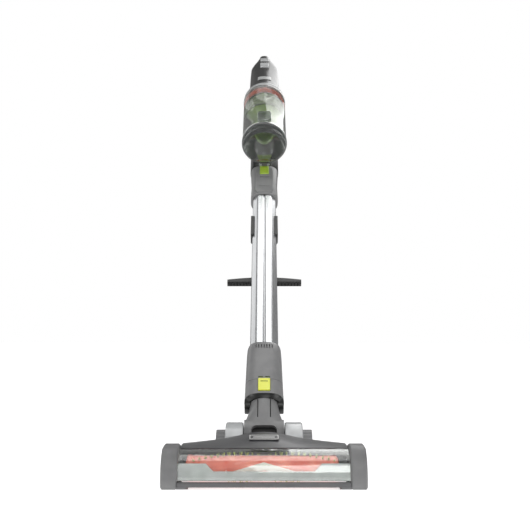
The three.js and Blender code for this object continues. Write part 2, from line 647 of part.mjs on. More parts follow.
function neckDuct() {
  const body = loft([
    { at: 0, wide: NECK_HALF, deep: NECK_DEPTH, power: 3.4 },
    { at: 11, wide: NECK_HALF, deep: NECK_DEPTH, power: 3.4 },
    { at: 20, wide: NECK_HALF - 2.2, deep: NECK_DEPTH + 0.7, power: 3 },
    { at: 30, wide: NECK_TOP_RADIUS + 1.2, deep: NECK_TOP_RADIUS - 0.6, power: 2.4 },
    { at: EAR_LOW - 3, wide: NECK_TOP_RADIUS, deep: NECK_TOP_RADIUS, power: 2 },
    { at: NECK_TOP, wide: NECK_TOP_RADIUS, deep: NECK_TOP_RADIUS, power: 2 },
  ]);
  const foot = rodX(NECK_DEPTH, mirrored(NECK_HALF), [0, 0], FINE);
  const spigot = rodZ(SPIGOT_RADIUS, [NECK_TOP - 2, SPIGOT_TOP]);
  const cavity = rodX(DUCT_BORE + RUN, mirrored(ARM_INNER), [0, 0]);
  const bore = rodZ(DUCT_BORE, [0, SPIGOT_TOP + 1]);
  const slot = alongY(roundedRect(mirrored(ARM_INNER), [-40, 1], 8), [-NECK_DEPTH - 3, 0]);
  const lowerBack = box(mirrored(ARM_INNER), [-5, NECK_DEPTH + 3], [-NECK_DEPTH - 3, -5]);
  const pins = rodX(PIN_RADIUS + GAP, mirrored(NECK_HALF + 2), [0, 0], COARSE);
  const grooves = sides.map(([, side]) => (
    box(span(side, 8.5, 9.9), [-NECK_DEPTH - 5, -NECK_DEPTH + 1], [15, CUFF_LOW])));
  return cut(join(body, foot, spigot), cavity, bore, slot, lowerBack, pins, ...grooves);
}

add(stick, 'neck_duct', neckDuct(), 'grey');

// ---------- collar that turns on the neck ----------

const COLLAR_STATIONS = [
  { along: 0, trim: 0, shallow: 0, power: 2.8 },
  { along: 0.18, trim: 0.5, shallow: 0.3, power: 2.9 },
  { along: 0.49, trim: 1.3, shallow: 0.8, power: 3.1 },
  { along: 0.8, trim: 2.2, shallow: 1.5, power: 3.2 },
  { along: 0.93, trim: 3.1, shallow: 2.3, power: 3.2 },
  { along: 0.975, trim: 4.6, shallow: 3.6, power: 3.2 },
  { along: 1, trim: 6.6, shallow: 5.4, power: 3.2 },
].map(({ along, trim, shallow, power }) => ({
  at: COLLAR_LOW + along * COLLAR_LENGTH,
  wide: COLLAR_HALF - trim,
  deep: COLLAR_DEPTH - shallow,
  power,
}));

function lowerCollar() {
  const outer = loft(COLLAR_STATIONS);
  const skirt = rodZ(NECK_TOP_RADIUS + RUN, [COLLAR_LOW - 1, NECK_TOP + 2], [0, 0], FINE);
  const socket = rodZ(SPIGOT_RADIUS + RUN, [COLLAR_LOW - 1, SPIGOT_TOP + 1]);
  const bore = rodZ(DUCT_BORE, [COLLAR_LOW, COLLAR_TOP + 1]);
  const tubeSocket = rodZ(TUBE_SPIGOT_RADIUS + GAP, [COLLAR_TOP - 53, COLLAR_TOP + 1]);
  const half = BUTTON_WIDTH / 2 + RUN;
  const front = -COLLAR_DEPTH - 5;
  const pocketTop = BUTTON_LOW + BUTTON_LENGTH + RUN;
  const pocket = box(mirrored(half), [front, -COLLAR_DEPTH + 5.6], [BUTTON_LOW - RUN, pocketTop]);
  const marks = sides.map(([, side]) => (
    box(span(side, 1.5, half - 0.5), [front, -COLLAR_DEPTH + 2.6], [pocketTop + 2.2, pocketTop + 4.4])));
  const seamLayer = box(mirrored(60), mirrored(60), [pocketTop - 1, pocketTop - 0.4]);
  const seam = cut(seamLayer, loft(grown(COLLAR_STATIONS, -0.7)));
  const ribs = [-3, -2, -1, 0, 1, 2, 3].map((i) => (
    box([i * 4.2 - 0.8, i * 4.2 + 0.8], [front, -COLLAR_DEPTH + 6], [COLLAR_TOP - 16, COLLAR_TOP - 7.5])));
  return cut(outer, skirt, socket, bore, tubeSocket, pocket, ...marks, seam, ...ribs);
}

function swivelCuff() {
  const top = COLLAR_LOW - GAP;
  const ring = loft([
    { at: CUFF_LOW, wide: COLLAR_HALF - 4, deep: COLLAR_DEPTH - 2.6, power: 2.2 },
    { at: CUFF_LOW + 3.5, wide: COLLAR_HALF - 1.4, deep: COLLAR_DEPTH - 0.8, power: 2.5 },
    { at: top, wide: COLLAR_HALF - 0.3, deep: COLLAR_DEPTH - 0.3, power: 2.6 },
  ]);
  const ears = sides.map(([, side]) => {
    const shape = new THREE.Shape();
    shape.moveTo(-13, top - 1);
    shape.quadraticCurveTo(-12, EAR_LOW, -5, EAR_LOW);
    shape.lineTo(5, EAR_LOW);
    shape.quadraticCurveTo(12, EAR_LOW, 13, top - 1);
    return alongX(shape, span(side, NECK_TOP_RADIUS - 3, COLLAR_HALF - 0.6), 1, 6);
  });
  return cut(join(ring, ...ears), rodZ(NECK_TOP_RADIUS + RUN, [EAR_LOW - 1, top + 1], [0, 0], FINE));
}

function pressButton(halfWidth, z, y, bevel = 0.7) {
  return alongY(roundedRect(mirrored(halfWidth), z, 1.6), y, bevel, 3);
}

function collarButton() {
  const front = -COLLAR_DEPTH - 1.6;
  const z = [BUTTON_LOW, BUTTON_LOW + BUTTON_LENGTH];
  const plate = pressButton(BUTTON_WIDTH / 2, z, [front, -COLLAR_DEPTH + 3.8]);
  return cut(plate, box(mirrored(5.5), [front - 1, front + 0.6], [z[1] - 7, z[1] - 5.6]));
}

add(stick, 'lower_collar', lowerCollar(), 'grey');
add(stick, 'swivel_cuff', swivelCuff(), 'dark');
add(stick, 'collar_button', collarButton(), 'yellow');

// ---------- tube, tool clip and tool ----------

// flat front and back, straight sides and slanted faces between them
function tubeOutline(offset) {
  const half = TUBE_WIDTH / 2 + offset;
  const deep = TUBE_DEPTH / 2 + offset;
  const flat = TUBE_FLAT / 2 + offset * 0.41;
  const side = TUBE_DEPTH * 0.22 + offset * 0.41;
  const corners = [
    [-flat, -deep], [flat, -deep], [half, -side], [half, side],
    [flat, deep], [-flat, deep], [-half, side], [-half, -side],
  ];
  const shape = new THREE.Shape();
  const between = (a, b, share) => [a[0] + (b[0] - a[0]) * share, a[1] + (b[1] - a[1]) * share];
  corners.forEach((corner, i) => {
    const before = corners[(i + 7) % 8];
    const after = corners[(i + 1) % 8];
    const start = between(corner, before, 0.2);
    if (i === 0) shape.moveTo(...start);
    else shape.lineTo(...start);
    shape.quadraticCurveTo(...corner, ...between(corner, after, 0.2));
  });
  return shape;
}

function wandTube() {
  const outer = alongZ(tubeOutline(0), [TUBE_LOW, TUBE_TOP], 0, 3);
  return cut(outer, alongZ(tubeOutline(-TUBE_WALL), [TUBE_LOW - 1, TUBE_TOP + 1], 0, 3));
}

function wandSpigot() {
  const plug = alongZ(tubeOutline(-TUBE_WALL - GAP), [TUBE_LOW + 1, TUBE_LOW + 26], 0, 3);
  const pipe = rodZ(TUBE_SPIGOT_RADIUS, [COLLAR_TOP - 52, TUBE_LOW + 3]);
  return cut(join(plug, pipe), rodZ(DUCT_BORE, [COLLAR_TOP - 60, TUBE_LOW + 40]));
}

// arms round the tube, narrowing to a saddle behind it that grips the tool's neck
function toolClip() {
  const half = TUBE_WIDTH / 2 + GAP + CLIP_WALL;
  const back = TOOL_BACK + 4;
  const shape = outline([
    [-half, -13], [half, -13], [half, 9], [half - 5, 17], [half - 5, back],
    [5 - half, back], [5 - half, 17], [-half, 9],
  ]);
  const z = [CLIP_LOW, CLIP_LOW + CLIP_LENGTH];
  const through = [CLIP_LOW - 1, CLIP_LOW + CLIP_LENGTH + 1];
  const tubeRoom = alongZ(tubeOutline(GAP), through, 0, 3);
  const channel = box(mirrored(TOOL_NECK_RADIUS + RUN), [TOOL_BACK, back + 1], through);
  const saddle = rodZ(TOOL_NECK_RADIUS + RUN, through, [0, TOOL_BACK]);
  return cut(alongZ(shape, z, 1, 3), tubeRoom, channel, saddle);
}

function upholsteryTool() {
  const shape = new THREE.Shape();
  shape.moveTo(-TOOL_HALF, TOOL_LOW);
  shape.lineTo(TOOL_HALF, TOOL_LOW);
  shape.lineTo(TOOL_HALF, TOOL_LOW + 8.5);
  shape.quadraticCurveTo(40, TOOL_LOW + 13, 16, TOOL_LOW + 14);
  shape.lineTo(-16, TOOL_LOW + 14);
  shape.quadraticCurveTo(-40, TOOL_LOW + 13, -TOOL_HALF, TOOL_LOW + 8.5);
  const mouth = alongY(shape, [TOOL_BACK - TOOL_DEPTH / 2, TOOL_BACK + TOOL_DEPTH / 2], 1.5, 8);
  const top = CLIP_LOW + CLIP_LENGTH + 12;
  const neck = rodZ(TOOL_NECK_RADIUS, [TOOL_LOW + 0.5, top], [0, TOOL_BACK]);
  const bore = rodZ(TOOL_NECK_RADIUS - WALL, [TOOL_LOW - 1, top + 1], [0, TOOL_BACK]);
  const slit = box(mirrored(TOOL_HALF - 5), [TOOL_BACK - 3.5, TOOL_BACK + 3.5], [TOOL_LOW - 1, TOOL_LOW + 5]);
  return cut(join(mouth, neck), bore, slit);
}

// short rubber teeth along the mouth's front edge, with a bridge across the neck
function toolTeeth() {
  const front = TOOL_BACK - TOOL_DEPTH / 2;
  const y = [front + 0.7, front + 4.7];
  const start = 26;
  const pitch = (TOOL_HALF - 1 - start) / TEETH_PER_SIDE;
  const strips = sides.map(([, side]) => {
    const spine = box(span(side, start, TOOL_HALF - 1), y, [TOOL_LOW - 1.8, TOOL_LOW - GAP]);
    const teeth = Array.from({ length: TEETH_PER_SIDE }, (_, i) => {
      const x = start + (i + 0.5) * pitch;
      return box(span(side, x - pitch * 0.3, x + pitch * 0.3), y, [TOOL_LOW - 5, TOOL_LOW - 1.5]);
    });
    return join(spine, ...teeth);
  });
  const bridgeY = [front - 1.8, front - GAP];
  const feet = sides.map(([, side]) => (
    box(span(side, start - 1, start + 2.5), [bridgeY[0], y[1]], [TOOL_LOW - 4, TOOL_LOW - 1])));
  const bridge = box(mirrored(start + 2.5), bridgeY, [TOOL_LOW - 4, TOOL_LOW - 1]);
  return join(...strips, ...feet, bridge);
}

add(stick, 'wand_tube', wandTube(), 'aluminium');
add(stick, 'wand_spigot', wandSpigot(), 'dark');
add(stick, 'tool_clip', toolClip(), 'dark');
add(stick, 'upholstery_tool', upholsteryTool(), 'dark');
add(stick, 'tool_teeth', toolTeeth(), 'black');

// ---------- upper connector and inlet duct ----------

const HAND_SPIGOT_RADIUS = 17;

function upperConnector() {
  const stations = [
    { at: CONNECTOR_LOW, wide: CONNECTOR_HALF - 0.5, deep: CONNECTOR_DEPTH - 0.4, power: 3.4 },
    { at: CONNECTOR_LOW + 3, wide: CONNECTOR_HALF, deep: CONNECTOR_DEPTH, power: 3.4 },
    { at: CONNECTOR_LOW + 45, wide: CONNECTOR_HALF - 1, deep: CONNECTOR_DEPTH - 0.3, power: 3.2 },
    { at: CONNECTOR_TOP - 2, wide: CONNECTOR_HALF + 1, deep: CONNECTOR_DEPTH, power: 3 },
    { at: CONNECTOR_TOP, wide: CONNECTOR_HALF + 0.4, deep: CONNECTOR_DEPTH - 0.6, power: 3 },
  ];
  const panelShape = new THREE.Shape();
  panelShape.moveTo(-15, CONNECTOR_LOW + 4);
  panelShape.lineTo(15, CONNECTOR_LOW + 4);
  panelShape.lineTo(18, CONNECTOR_LOW + 12);
  panelShape.lineTo(18, CONNECTOR_TOP - 22);
  panelShape.quadraticCurveTo(17, CONNECTOR_TOP - 4, 8, CONNECTOR_TOP - 3);
  panelShape.lineTo(-8, CONNECTOR_TOP - 3);
  panelShape.quadraticCurveTo(-17, CONNECTOR_TOP - 4, -18, CONNECTOR_TOP - 22);
  panelShape.lineTo(-18, CONNECTOR_LOW + 12);
  const panel = alongY(panelShape, [-CONNECTOR_DEPTH - 1, -CONNECTOR_DEPTH + 3], 0.7, 6);
  const socket = alongZ(tubeOutline(GAP), [CONNECTOR_LOW - 1, TUBE_TOP + 1], 0, 3);
  const bore = rodZ(DUCT_BORE, [CONNECTOR_LOW, CONNECTOR_TOP + 1]);
  const handSocket = rodZ(HAND_SPIGOT_RADIUS + GAP, [TUBE_TOP + 12, CONNECTOR_TOP + 1]);
  const front = -CONNECTOR_DEPTH - 4;
  const pocketZ = [LATCH_LOW - RUN, LATCH_LOW + LATCH_LENGTH + RUN];
  const pocket = box(mirrored(LATCH_WIDTH / 2 + RUN), [front, -CONNECTOR_DEPTH + 3.4], pocketZ);
  const slit = box(mirrored(9), [front, -CONNECTOR_DEPTH + 1.2], [LATCH_LOW - 11, LATCH_LOW - 9]);
  const ribZ = [CONNECTOR_LOW + 9, CONNECTOR_LOW + 26];
  const ribs = [-2, -1, 0, 1, 2].map((i) => (
    box([i * 4.4 - 0.8, i * 4.4 + 0.8], [front, -CONNECTOR_DEPTH - 0.1], ribZ)));
  return cut(join(loft(stations), panel), socket, bore, handSocket, pocket, slit, ...ribs);
}

function connectorLatch() {
  const z = [LATCH_LOW, LATCH_LOW + LATCH_LENGTH];
  return pressButton(LATCH_WIDTH / 2, z, [-CONNECTOR_DEPTH - 2.2, -CONNECTOR_DEPTH + 1.6]);
}

function inletDuct() {
  const low = CONNECTOR_TOP + GAP;
  const top = HOUSING_LOW - GAP;
  const stations = [
    { at: low, wide: DUCT_HALF - 1, deep: DUCT_DEPTH - 1, power: 3 },
    { at: low + 3, wide: DUCT_HALF, deep: DUCT_DEPTH, power: 3 },
    { at: low + 60, wide: DUCT_HALF, deep: DUCT_DEPTH, power: 3 },
    { at: top - 30, wide: DUCT_HALF + 1, deep: DUCT_DEPTH, power: 3 },
    { at: top, wide: DUCT_HALF + 2, deep: DUCT_DEPTH, power: 3 },
  ];
  const spigot = rodZ(HAND_SPIGOT_RADIUS, [TUBE_TOP + 13, low + 2]);
  const bore = rodZ(DUCT_BORE, [TUBE_TOP, top - 14]);
  const port = box(mirrored(9), [-DUCT_DEPTH - 3, -5], [top - 40, top - 18]);
  const cupRoom = rodZ(CUP_RADIUS + 1, [CONNECTOR_TOP - 10, top + 1], [0, CUP_Y], FINE);
  return cut(join(loft(stations), spigot), bore, port, cupRoom);
}

function releaseLever() {
  const z = [LID_Z + 3, LID_Z + 46];
  const y = [CUP_Y + CUP_RADIUS + 1, -DUCT_DEPTH - GAP];
  return pressButton(9, z, y, 0.8);
}

add(stick, 'upper_connector', upperConnector(), 'grey');
add(stick, 'connector_latch', connectorLatch(), 'lime');
add(stick, 'inlet_duct', inletDuct(), 'dark');
add(stick, 'release_lever', releaseLever(), 'lime');

// ---------- dust cup, its lid and what it holds ----------

const slant = THREE.MathUtils.degToRad(LID_SLANT);

// lid pieces are drawn flat round the cup's axis, then tipped about the point where the axis meets the lid
function onLid(geometry) {
  return geometry.rotateX(-slant).translate(0, CUP_Y, LID_Z);
}

function dustCup() {
  const top = CUP_TOP - GAP;
  const low = LID_Z - 12;
  const wallOuter = rodZ(CUP_RADIUS, [low, top], [0, CUP_Y], FINE);
  const inner = rodZ(CUP_RADIUS - CUP_WALL, [low - 1, top + 1], [0, CUP_Y], FINE);
  const below = onLid(box(mirrored(80), mirrored(80), [-60, GAP]));
  const lugs = sides.map(([, side]) => onLid(join(
    box(span(side, 6, 11), [CUP_RADIUS - 1.2, HINGE_OUT + 2.2], [GAP * 2, 6]),
    box(span(side, 6, 11), [CUP_RADIUS + 1, HINGE_OUT + 2.2], [-LID_THICK / 2, 6]),
    rodX(2.2, span(side, 6, 11), [HINGE_OUT, -LID_THICK / 2], 12))));
  const pinBore = onLid(rodX(HINGE_PIN + GAP, mirrored(20), [HINGE_OUT, -LID_THICK / 2], COARSE));
  return cut(join(cut(wallOuter, inner, below), ...lugs), pinBore);
}

function lidRim() {
  const outer = CUP_RADIUS + 0.6;
  const inner = CUP_RADIUS - 4;
  const low = -LID_THICK;
  const points = [[inner, low], [outer - 1.2, low], [outer, low + 1.5], [outer, 0], [inner, 0]];
  const knuckle = box(mirrored(5.6), [outer - 1.5, HINGE_OUT + 2.2], [-LID_THICK, -0.2]);
  const pinBore = rodX(HINGE_PIN + GAP, mirrored(20), [HINGE_OUT, -LID_THICK / 2], COARSE);
  return onLid(cut(join(turned([...points, points[0]], [0, 0], FINE), knuckle), pinBore));
}

function lidPane() {
  const radius = CUP_RADIUS - 4 - GAP;
  const points = [[0, -LID_THICK + 1], [radius, -LID_THICK + 1.4], [radius, -0.6], [0, -1]];
  return onLid(turned(points, [0, 0], FINE));
}

function lidHingePin() {
  return onLid(rodX(HINGE_PIN, mirrored(11), [HINGE_OUT, -LID_THICK / 2], COARSE));
}

function cupRing() {
  const outer = CUP_RADIUS - 0.75;
  const points = [
    [outer - 8, CUP_TOP], [outer, CUP_TOP], [outer, CUP_TOP + 9], [outer - 1.5, CUP_TOP + 13],
    [outer - 5, RING_TOP - 1.5], [outer - 8, RING_TOP],
  ];
  return turned([...points, points[0]], [0, CUP_Y], FINE);
}

function cycloneCone() {
  const low = LID_Z + 16;
  const points = [
    [11, low], [13, low], [16, low + 30], [24, low + 78], [26, low + 84], [26, CUP_TOP - 4],
    [24, CUP_TOP - 4], [24, low + 86], [14, low + 30],
  ];
  return turned([...points, points[0]], [0, CUP_Y], MEDIUM);
}

// a sleeve round the cone with an outer skirt, ribbed like the screen that it stands for
function meshScreen() {
  const top = CUP_TOP - 24;
  const low = top - 42;
  const inner = 26 + GAP;
  const rings = [];
  for (let i = 0; i < 3; i += 1) {
    const z = low + i * 14;
    rings.push([inner + 2.6, z], [inner + 2.6, z + 8], [inner + 1.6, z + 9.2], [inner + 1.6, z + 12.8]);
  }
  const points = [[inner, low], ...rings, [inner + 2.6, top], [inner, top]];
  return turned([...points, points[0]], [0, CUP_Y], MEDIUM);
}

function filterBand() {
  const top = CUP_TOP - 2;
  const steps = 2 * FILTER_PLEATS;
  const shape = new THREE.Shape();
  for (let i = 0; i < steps; i += 1) {
    const angle = (2 * Math.PI * i) / steps;
    const radius = i % 2 ? 36 : 38.5;
    const point = [radius * Math.cos(angle), radius * Math.sin(angle)];
    if (i === 0) shape.moveTo(...point);
    else shape.lineTo(...point);
  }
  const band = alongZ(shape, [top - 17, top]).translate(0, CUP_Y, 0);
  return cut(band, rodZ(27, [top - 20, top + 2], [0, CUP_Y]));
}

function cupLatch() {
  const z = [LID_Z + 7, LID_Z + 7 + CUP_LATCH_LENGTH];
  const front = CUP_Y - CUP_RADIUS;
  const block = alongY(roundedRect(mirrored(CUP_LATCH_WIDTH / 2), z, 7), [front - 5, front + 6], 1.2, 5);
  const cupRoom = rodZ(CUP_RADIUS + GAP, [z[0] - 5, z[1] + 5], [0, CUP_Y], FINE);
  const window = alongY(roundedRect(mirrored(8), [z[0] + 12, z[1] - 8], 4), [front - 8, front - 3.4], 0, 4);
  return cut(block, cupRoom, window);
}

add(stick, 'dust_cup', dustCup(), 'clear');
add(stick, 'cup_ring', cupRing(), 'grey');
add(stick, 'cyclone_cone', cycloneCone(), 'green');
add(stick, 'mesh_screen', meshScreen(), 'black');
add(stick, 'filter_band', filterBand(), 'orange');
add(stick, 'lid_rim', lidRim(), 'grey');
add(stick, 'lid_pane', lidPane(), 'clear');
add(stick, 'cup_latch', cupLatch(), 'tinted');
add(stick, 'lid_hinge_pin', lidHingePin(), 'steel');

// ---------- hand unit: motor housing, handle and battery ----------

const FRONT_REACH = CUP_FORWARD + 30;
const MOTOR_Y = CUP_Y + 30;
const HOUSING_PROFILE = [
  { along: 0, wide: 0, front: 0, back: 30, power: 2.6 },
  { along: 0.15, wide: 0.1, front: -9, back: 30, power: 2.6 },
  { along: 0.3, wide: 0.3, front: -17, back: 29, power: 2.6 },
  { along: 0.47, wide: 0.8, front: -24.5, back: 24, power: 2.6 },
  { along: 0.615, wide: 1.6, front: -30.5, back: 5, power: 2.6 },
  { along: 0.722, wide: 3.2, front: -34.5, back: -20, power: 2.5 },
  { along: 0.784, wide: 9, front: -37, back: -34, power: 2.4 },
  { along: 0.847, wide: 16, front: -39.5, back: -43, power: 2.4 },
  { along: 0.914, wide: 21.5, front: -42, back: -47, power: 2.4 },
  { along: 1, wide: 24.5, front: -47, back: -46, power: 2.4 },
];
const HOUSING_STATIONS = HOUSING_PROFILE.map(({ along, wide, front, back, power }) => {
  const foremost = -(FRONT_REACH + front);
  return {
    at: HOUSING_LOW + along * (HOUSING_HEIGHT - 12),
    wide: HOUSING_HALF - wide,
    deep: (back - foremost) / 2,
    y: (back + foremost) / 2,
    power,
  };
});

// a flat seat on the housing's sloping front: from and to are heights up the front, and depth goes into it
const SEAT_TILT = Math.atan2(9, 57);
const SEAT_Y = -(FRONT_REACH - 34.7);
const SEAT_Z = HOUSING_LOW + 166;
const BUTTON_SEAT = [-20, 12]; // heights up the seat
const DISPLAY_SEAT = [26, 48];

function onSeat(geometry) {
  return geometry.rotateX(-SEAT_TILT).translate(0, SEAT_Y, SEAT_Z);
}

function motorHousing() {
  const outer = loft(HOUSING_STATIONS);
  const inner = loft(stretched(grown(HOUSING_STATIONS.slice(0, 5), -2.4), -1, 0), MEDIUM);
  const buttonRoom = onSeat(box(mirrored(10.5), [-12, 3.4], [BUTTON_SEAT[0] - RUN, BUTTON_SEAT[1] + RUN]));
  const displayRoom = onSeat(box(mirrored(10.5), [-12, 1.6], [DISPLAY_SEAT[0] - RUN, DISPLAY_SEAT[1] + RUN]));
  const vents = [];
  for (let i = 0; i < 6; i += 1) {
    const z = HOUSING_LOW + 26 + i * 7;
    for (const [, side] of sides) {
      vents.push(box(span(side, HOUSING_HALF - 8, HOUSING_HALF + 3), [-52, -6], [z, z + 2.6]));
    }
  }
  return cut(outer, inner, buttonRoom, displayRoom, ...vents);
}

function labelPlate() {
  const region = box(mirrored(15), [-200, -50], [HOUSING_LOW + 54, HOUSING_LOW + 76]);
  return cut(common(loft(grown(HOUSING_STATIONS, 1.3)), region), loft(grown(HOUSING_STATIONS, GAP)));
}

function handlePath() {
  const top = HOUSING_TOP;
  const gripBack = BATTERY_FRONT + BATTERY_DEPTH / 2 - 4;
  return new THREE.CatmullRomCurve3([
    [-38, top - 35], [-27, top - 14], [2, top - 3], [34, top - 8], [62, top - 36],
    [gripBack - 6, top - 76], [gripBack, BATTERY_TOP + 34], [gripBack, BATTERY_TOP + 10],
  ].map(([y, z]) => new THREE.Vector3(0, y, z)), false, 'centripetal');
}

function handleShell() {
  const section = new THREE.Shape();
  section.absellipse(0, 0, HANDLE_DEPTH, HANDLE_HALF, 0, 2 * Math.PI);
  const extrudePath = handlePath();
  const grip = new THREE.ExtrudeGeometry(section, { steps: 22, extrudePath, curveSegments: MEDIUM / 2 });
  const dockLow = BATTERY_TOP + GAP;
  const footprint = roundedRect(mirrored(BATTERY_HALF - 3), [0, BATTERY_FRONT + BATTERY_DEPTH], 8);
  const dock = alongZ(footprint, [dockLow, dockLow + 16], 1.5, 5);
  return cut(join(grip, dock), loft(stretched(grown(HOUSING_STATIONS, GAP), -20, 0)));
}

function batteryPack() {
  const shape = roundedRect(mirrored(BATTERY_HALF), [BATTERY_FRONT - 26, BATTERY_FRONT + BATTERY_DEPTH], 9);
  const pack = alongZ(shape, [BATTERY_LOW, BATTERY_TOP], 2, 5);
  const back = BATTERY_FRONT + BATTERY_DEPTH;
  const latchRoom = box(mirrored(9.5), [back - 5, back + 2], [BATTERY_LOW + 27.5, BATTERY_LOW + 42.5]);
  return cut(pack, latchRoom);
}

function batteryLatch() {
  const back = BATTERY_FRONT + BATTERY_DEPTH;
  return pressButton(9, [BATTERY_LOW + 28, BATTERY_LOW + 42], [back - 3, back + 1]);
}

function suctionMotor() {
  const low = HOUSING_LOW + 26;
  const points = [
    [0, low - 6], [4, low - 6], [4, low], [MOTOR_RADIUS, low],
    [MOTOR_RADIUS, low + 44], [12, low + 50], [0, low + 50],
  ];
  return turned(points, [0, MOTOR_Y], MEDIUM);
}

function impeller() {
  const low = HOUSING_LOW + 6;
  const hub = turned([[0, low], [5, low], [5, low + 10], [0, low + 12.5]], [0, 0], COARSE);
  const plate = rodZ(MOTOR_RADIUS - 1, [low + 0.5, low + 2.5]);
  const blades = Array.from({ length: 9 }, (_, i) => {
    const blade = box([4, MOTOR_RADIUS - 2], [-0.6, 0.6], [low + 2, low + 8]);
    return blade.rotateZ((2 * Math.PI * i) / 9);
  });
  return join(hub, plate, ...blades).translate(0, MOTOR_Y, 0);
}

add(stick, 'motor_housing', motorHousing(), 'dark');
add(stick, 'label_plate', labelPlate(), 'grey');
add(stick, 'handle_shell', handleShell(), 'dark');
add(stick, 'display_lens', onSeat(pressButton(10, DISPLAY_SEAT, [-1.4, 1.2])), 'gloss');
add(stick, 'power_button', onSeat(pressButton(10, BUTTON_SEAT, [-2, 1.8])), 'gloss');
add(stick, 'suction_motor', suctionMotor(), 'steel');
add(stick, 'impeller', impeller(), 'black');
add(stick, 'battery_pack', batteryPack(), 'dark');
add(stick, 'battery_latch', batteryLatch(), 'lime');

export default vacuum;
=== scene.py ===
"""Looks for a cordless stick vacuum cleaner with a clear dust cup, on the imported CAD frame.

Each added shape is drawn in millimetres in its own frame, and its place matrix carries it to metres.
"""

import json
import math
import random

import bmesh
import bpy
from mathutils import Matrix, Vector


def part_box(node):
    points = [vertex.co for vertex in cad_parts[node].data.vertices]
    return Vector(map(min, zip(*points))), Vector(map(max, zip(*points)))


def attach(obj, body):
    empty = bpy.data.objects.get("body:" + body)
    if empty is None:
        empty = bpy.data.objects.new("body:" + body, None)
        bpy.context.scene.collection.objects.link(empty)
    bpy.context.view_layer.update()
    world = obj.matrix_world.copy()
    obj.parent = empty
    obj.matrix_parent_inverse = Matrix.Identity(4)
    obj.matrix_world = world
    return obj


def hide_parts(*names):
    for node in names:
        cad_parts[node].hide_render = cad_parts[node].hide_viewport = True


MM = 0.001

# ---------- driving sizes, in millimetres ----------

EDGE = 0.45  # rounding of a moulded edge
FINE_EDGE = 0.25  # rounding on small pieces
EDGE_ANGLE = 34  # degrees between two faces from which their edge is rounded
ROUND_SIDES = 96  # sides of a turned piece
CUP_WALL = 2
LID_SLANT = 6.5  # degrees that the lid's front edge is raised
LID_THICK = 5
LID_OVERHANG = 0.6  # the lid's rim past the cup's wall
LID_LAP = 1.6  # the lid's rim in under the wall
PLEATS = 64
PLEAT_DEPTH = 2.4
SCREEN_ROWS = 3
TUFT_ROWS = 2
TUFT_PITCH = 7.5
TUFT_SPREAD = 1.4  # radius of a tuft at its root
BRUSH_TWIST = 0.0175  # radians of turn for each millimetre from the middle
BRISTLES = 9  # in each tuft
BRISTLE_WIDTH = 0.42
ROOT_DEPTH = 0.5  # how far tufts and strips are set into the core
LAND_HEIGHT = 1.6  # the raised band of the core under a row of tufts
LAND_REACH = 0.42  # half its width, in radians
LAND_SINK = 0.4  # the core's bare skin below its CAD radius
JOURNAL_RADIUS = 4  # the core's ends, in their bearings
JOURNAL_LENGTH = 8
STUB_RADIUS = 11.4  # the brush's end, inside its pulley
STRIP_HEIGHT = 1.7  # the painted glare strips above the brush's core
STRIP_GAP = 0.14  # from a row of tufts to the strip beside it, in radians
STRIP_NARROW = 0.12  # a strip's width at its ends, in radians
STRIP_WIDEN = 0.5  # how much wider it is in the middle
TUBE_WALL = 1.6
TUBE_FLAT = 0.578  # the tube's flat front, as a share of its width
TUBE_SIDE = 0.44  # its flat sides, as a share of its depth
FLUTE_WIDTH = 6  # the groove down the tube's front
FLUTE_DEPTH = 1.3
FLUTE_STEPS = 6  # on each side of the groove's middle
TICKS = 5  # light marks along the window's lower bar
TICK_PITCH = 24
TICK_WIDTH = 0.8
PLATE_THICK = 1.2  # the emblem plate
EMBLEM_RISE = 0.35  # its border above the plate
EMBLEM_LINE = 1.1
GROOVE_PITCH = 18.4  # between the two grooves down the neck
GROOVE_WIDTH = 1.36
SEED = 7

# ---------- the studio, in metres ----------

CAMERA_AT = (0.0013, -1.0586, 0.283)
CAMERA_LENS = 50
SENSOR_WIDTH = 36
FLOOR_SIZE = 2.6
FLOOR_GLOW = 0.62
WORLD_LIGHT = 0.26  # the white world's strength as a light

# ---------- the CAD frame ----------

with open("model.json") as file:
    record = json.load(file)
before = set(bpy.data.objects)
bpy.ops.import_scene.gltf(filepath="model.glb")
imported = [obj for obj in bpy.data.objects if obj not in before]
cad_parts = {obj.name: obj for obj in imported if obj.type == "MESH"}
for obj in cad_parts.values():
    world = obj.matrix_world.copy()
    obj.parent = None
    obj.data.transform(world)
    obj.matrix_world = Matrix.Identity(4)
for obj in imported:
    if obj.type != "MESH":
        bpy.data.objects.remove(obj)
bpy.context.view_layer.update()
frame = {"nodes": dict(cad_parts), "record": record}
joints = {joint["name"]: joint for joint in frame["record"]["behaviour"]["joints"]}
SLOTS = {part["node"]: part["material_slot"] for part in frame["record"]["subparts"]}
BODIES = {node: body for body, nodes in frame["record"]["behaviour"]["bodies"].items() for node in nodes}

TO_METRES = Matrix.Scale(MM, 4)

# the stick's own frame: origin on the neck's hinge, +Z up the tube, -Y out of its front
HINGE = Vector(joints["neck_pitch"]["pos_m"])
UP = Vector(joints["wand_pull"]["axis"]).normalized()
ACROSS = Vector((1, 0, 0))
BACK = UP.cross(ACROSS)
STICK = Matrix.Translation(HINGE) @ Matrix((ACROSS, BACK, UP)).transposed().to_4x4() @ TO_METRES


def stick_box(node):
    """Lowest and highest corner of a CAD node in the stick's own frame."""
    to_stick = STICK.inverted()
    points = [to_stick @ vertex.co for vertex in frame["nodes"][node].data.vertices]
    return [Vector([pick(point[k] for point in points) for k in range(3)]) for pick in (min, max)]


def world_box(node):
    """Lowest and highest corner of a CAD node in the world's frame, in millimetres."""
    return [Vector(corner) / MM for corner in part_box(node)]


def slanted_by(degrees):
    """A turn about X that raises the front edge."""
    return Matrix.Rotation(math.radians(-degrees), 4, "X")


# ---------- shader building ----------


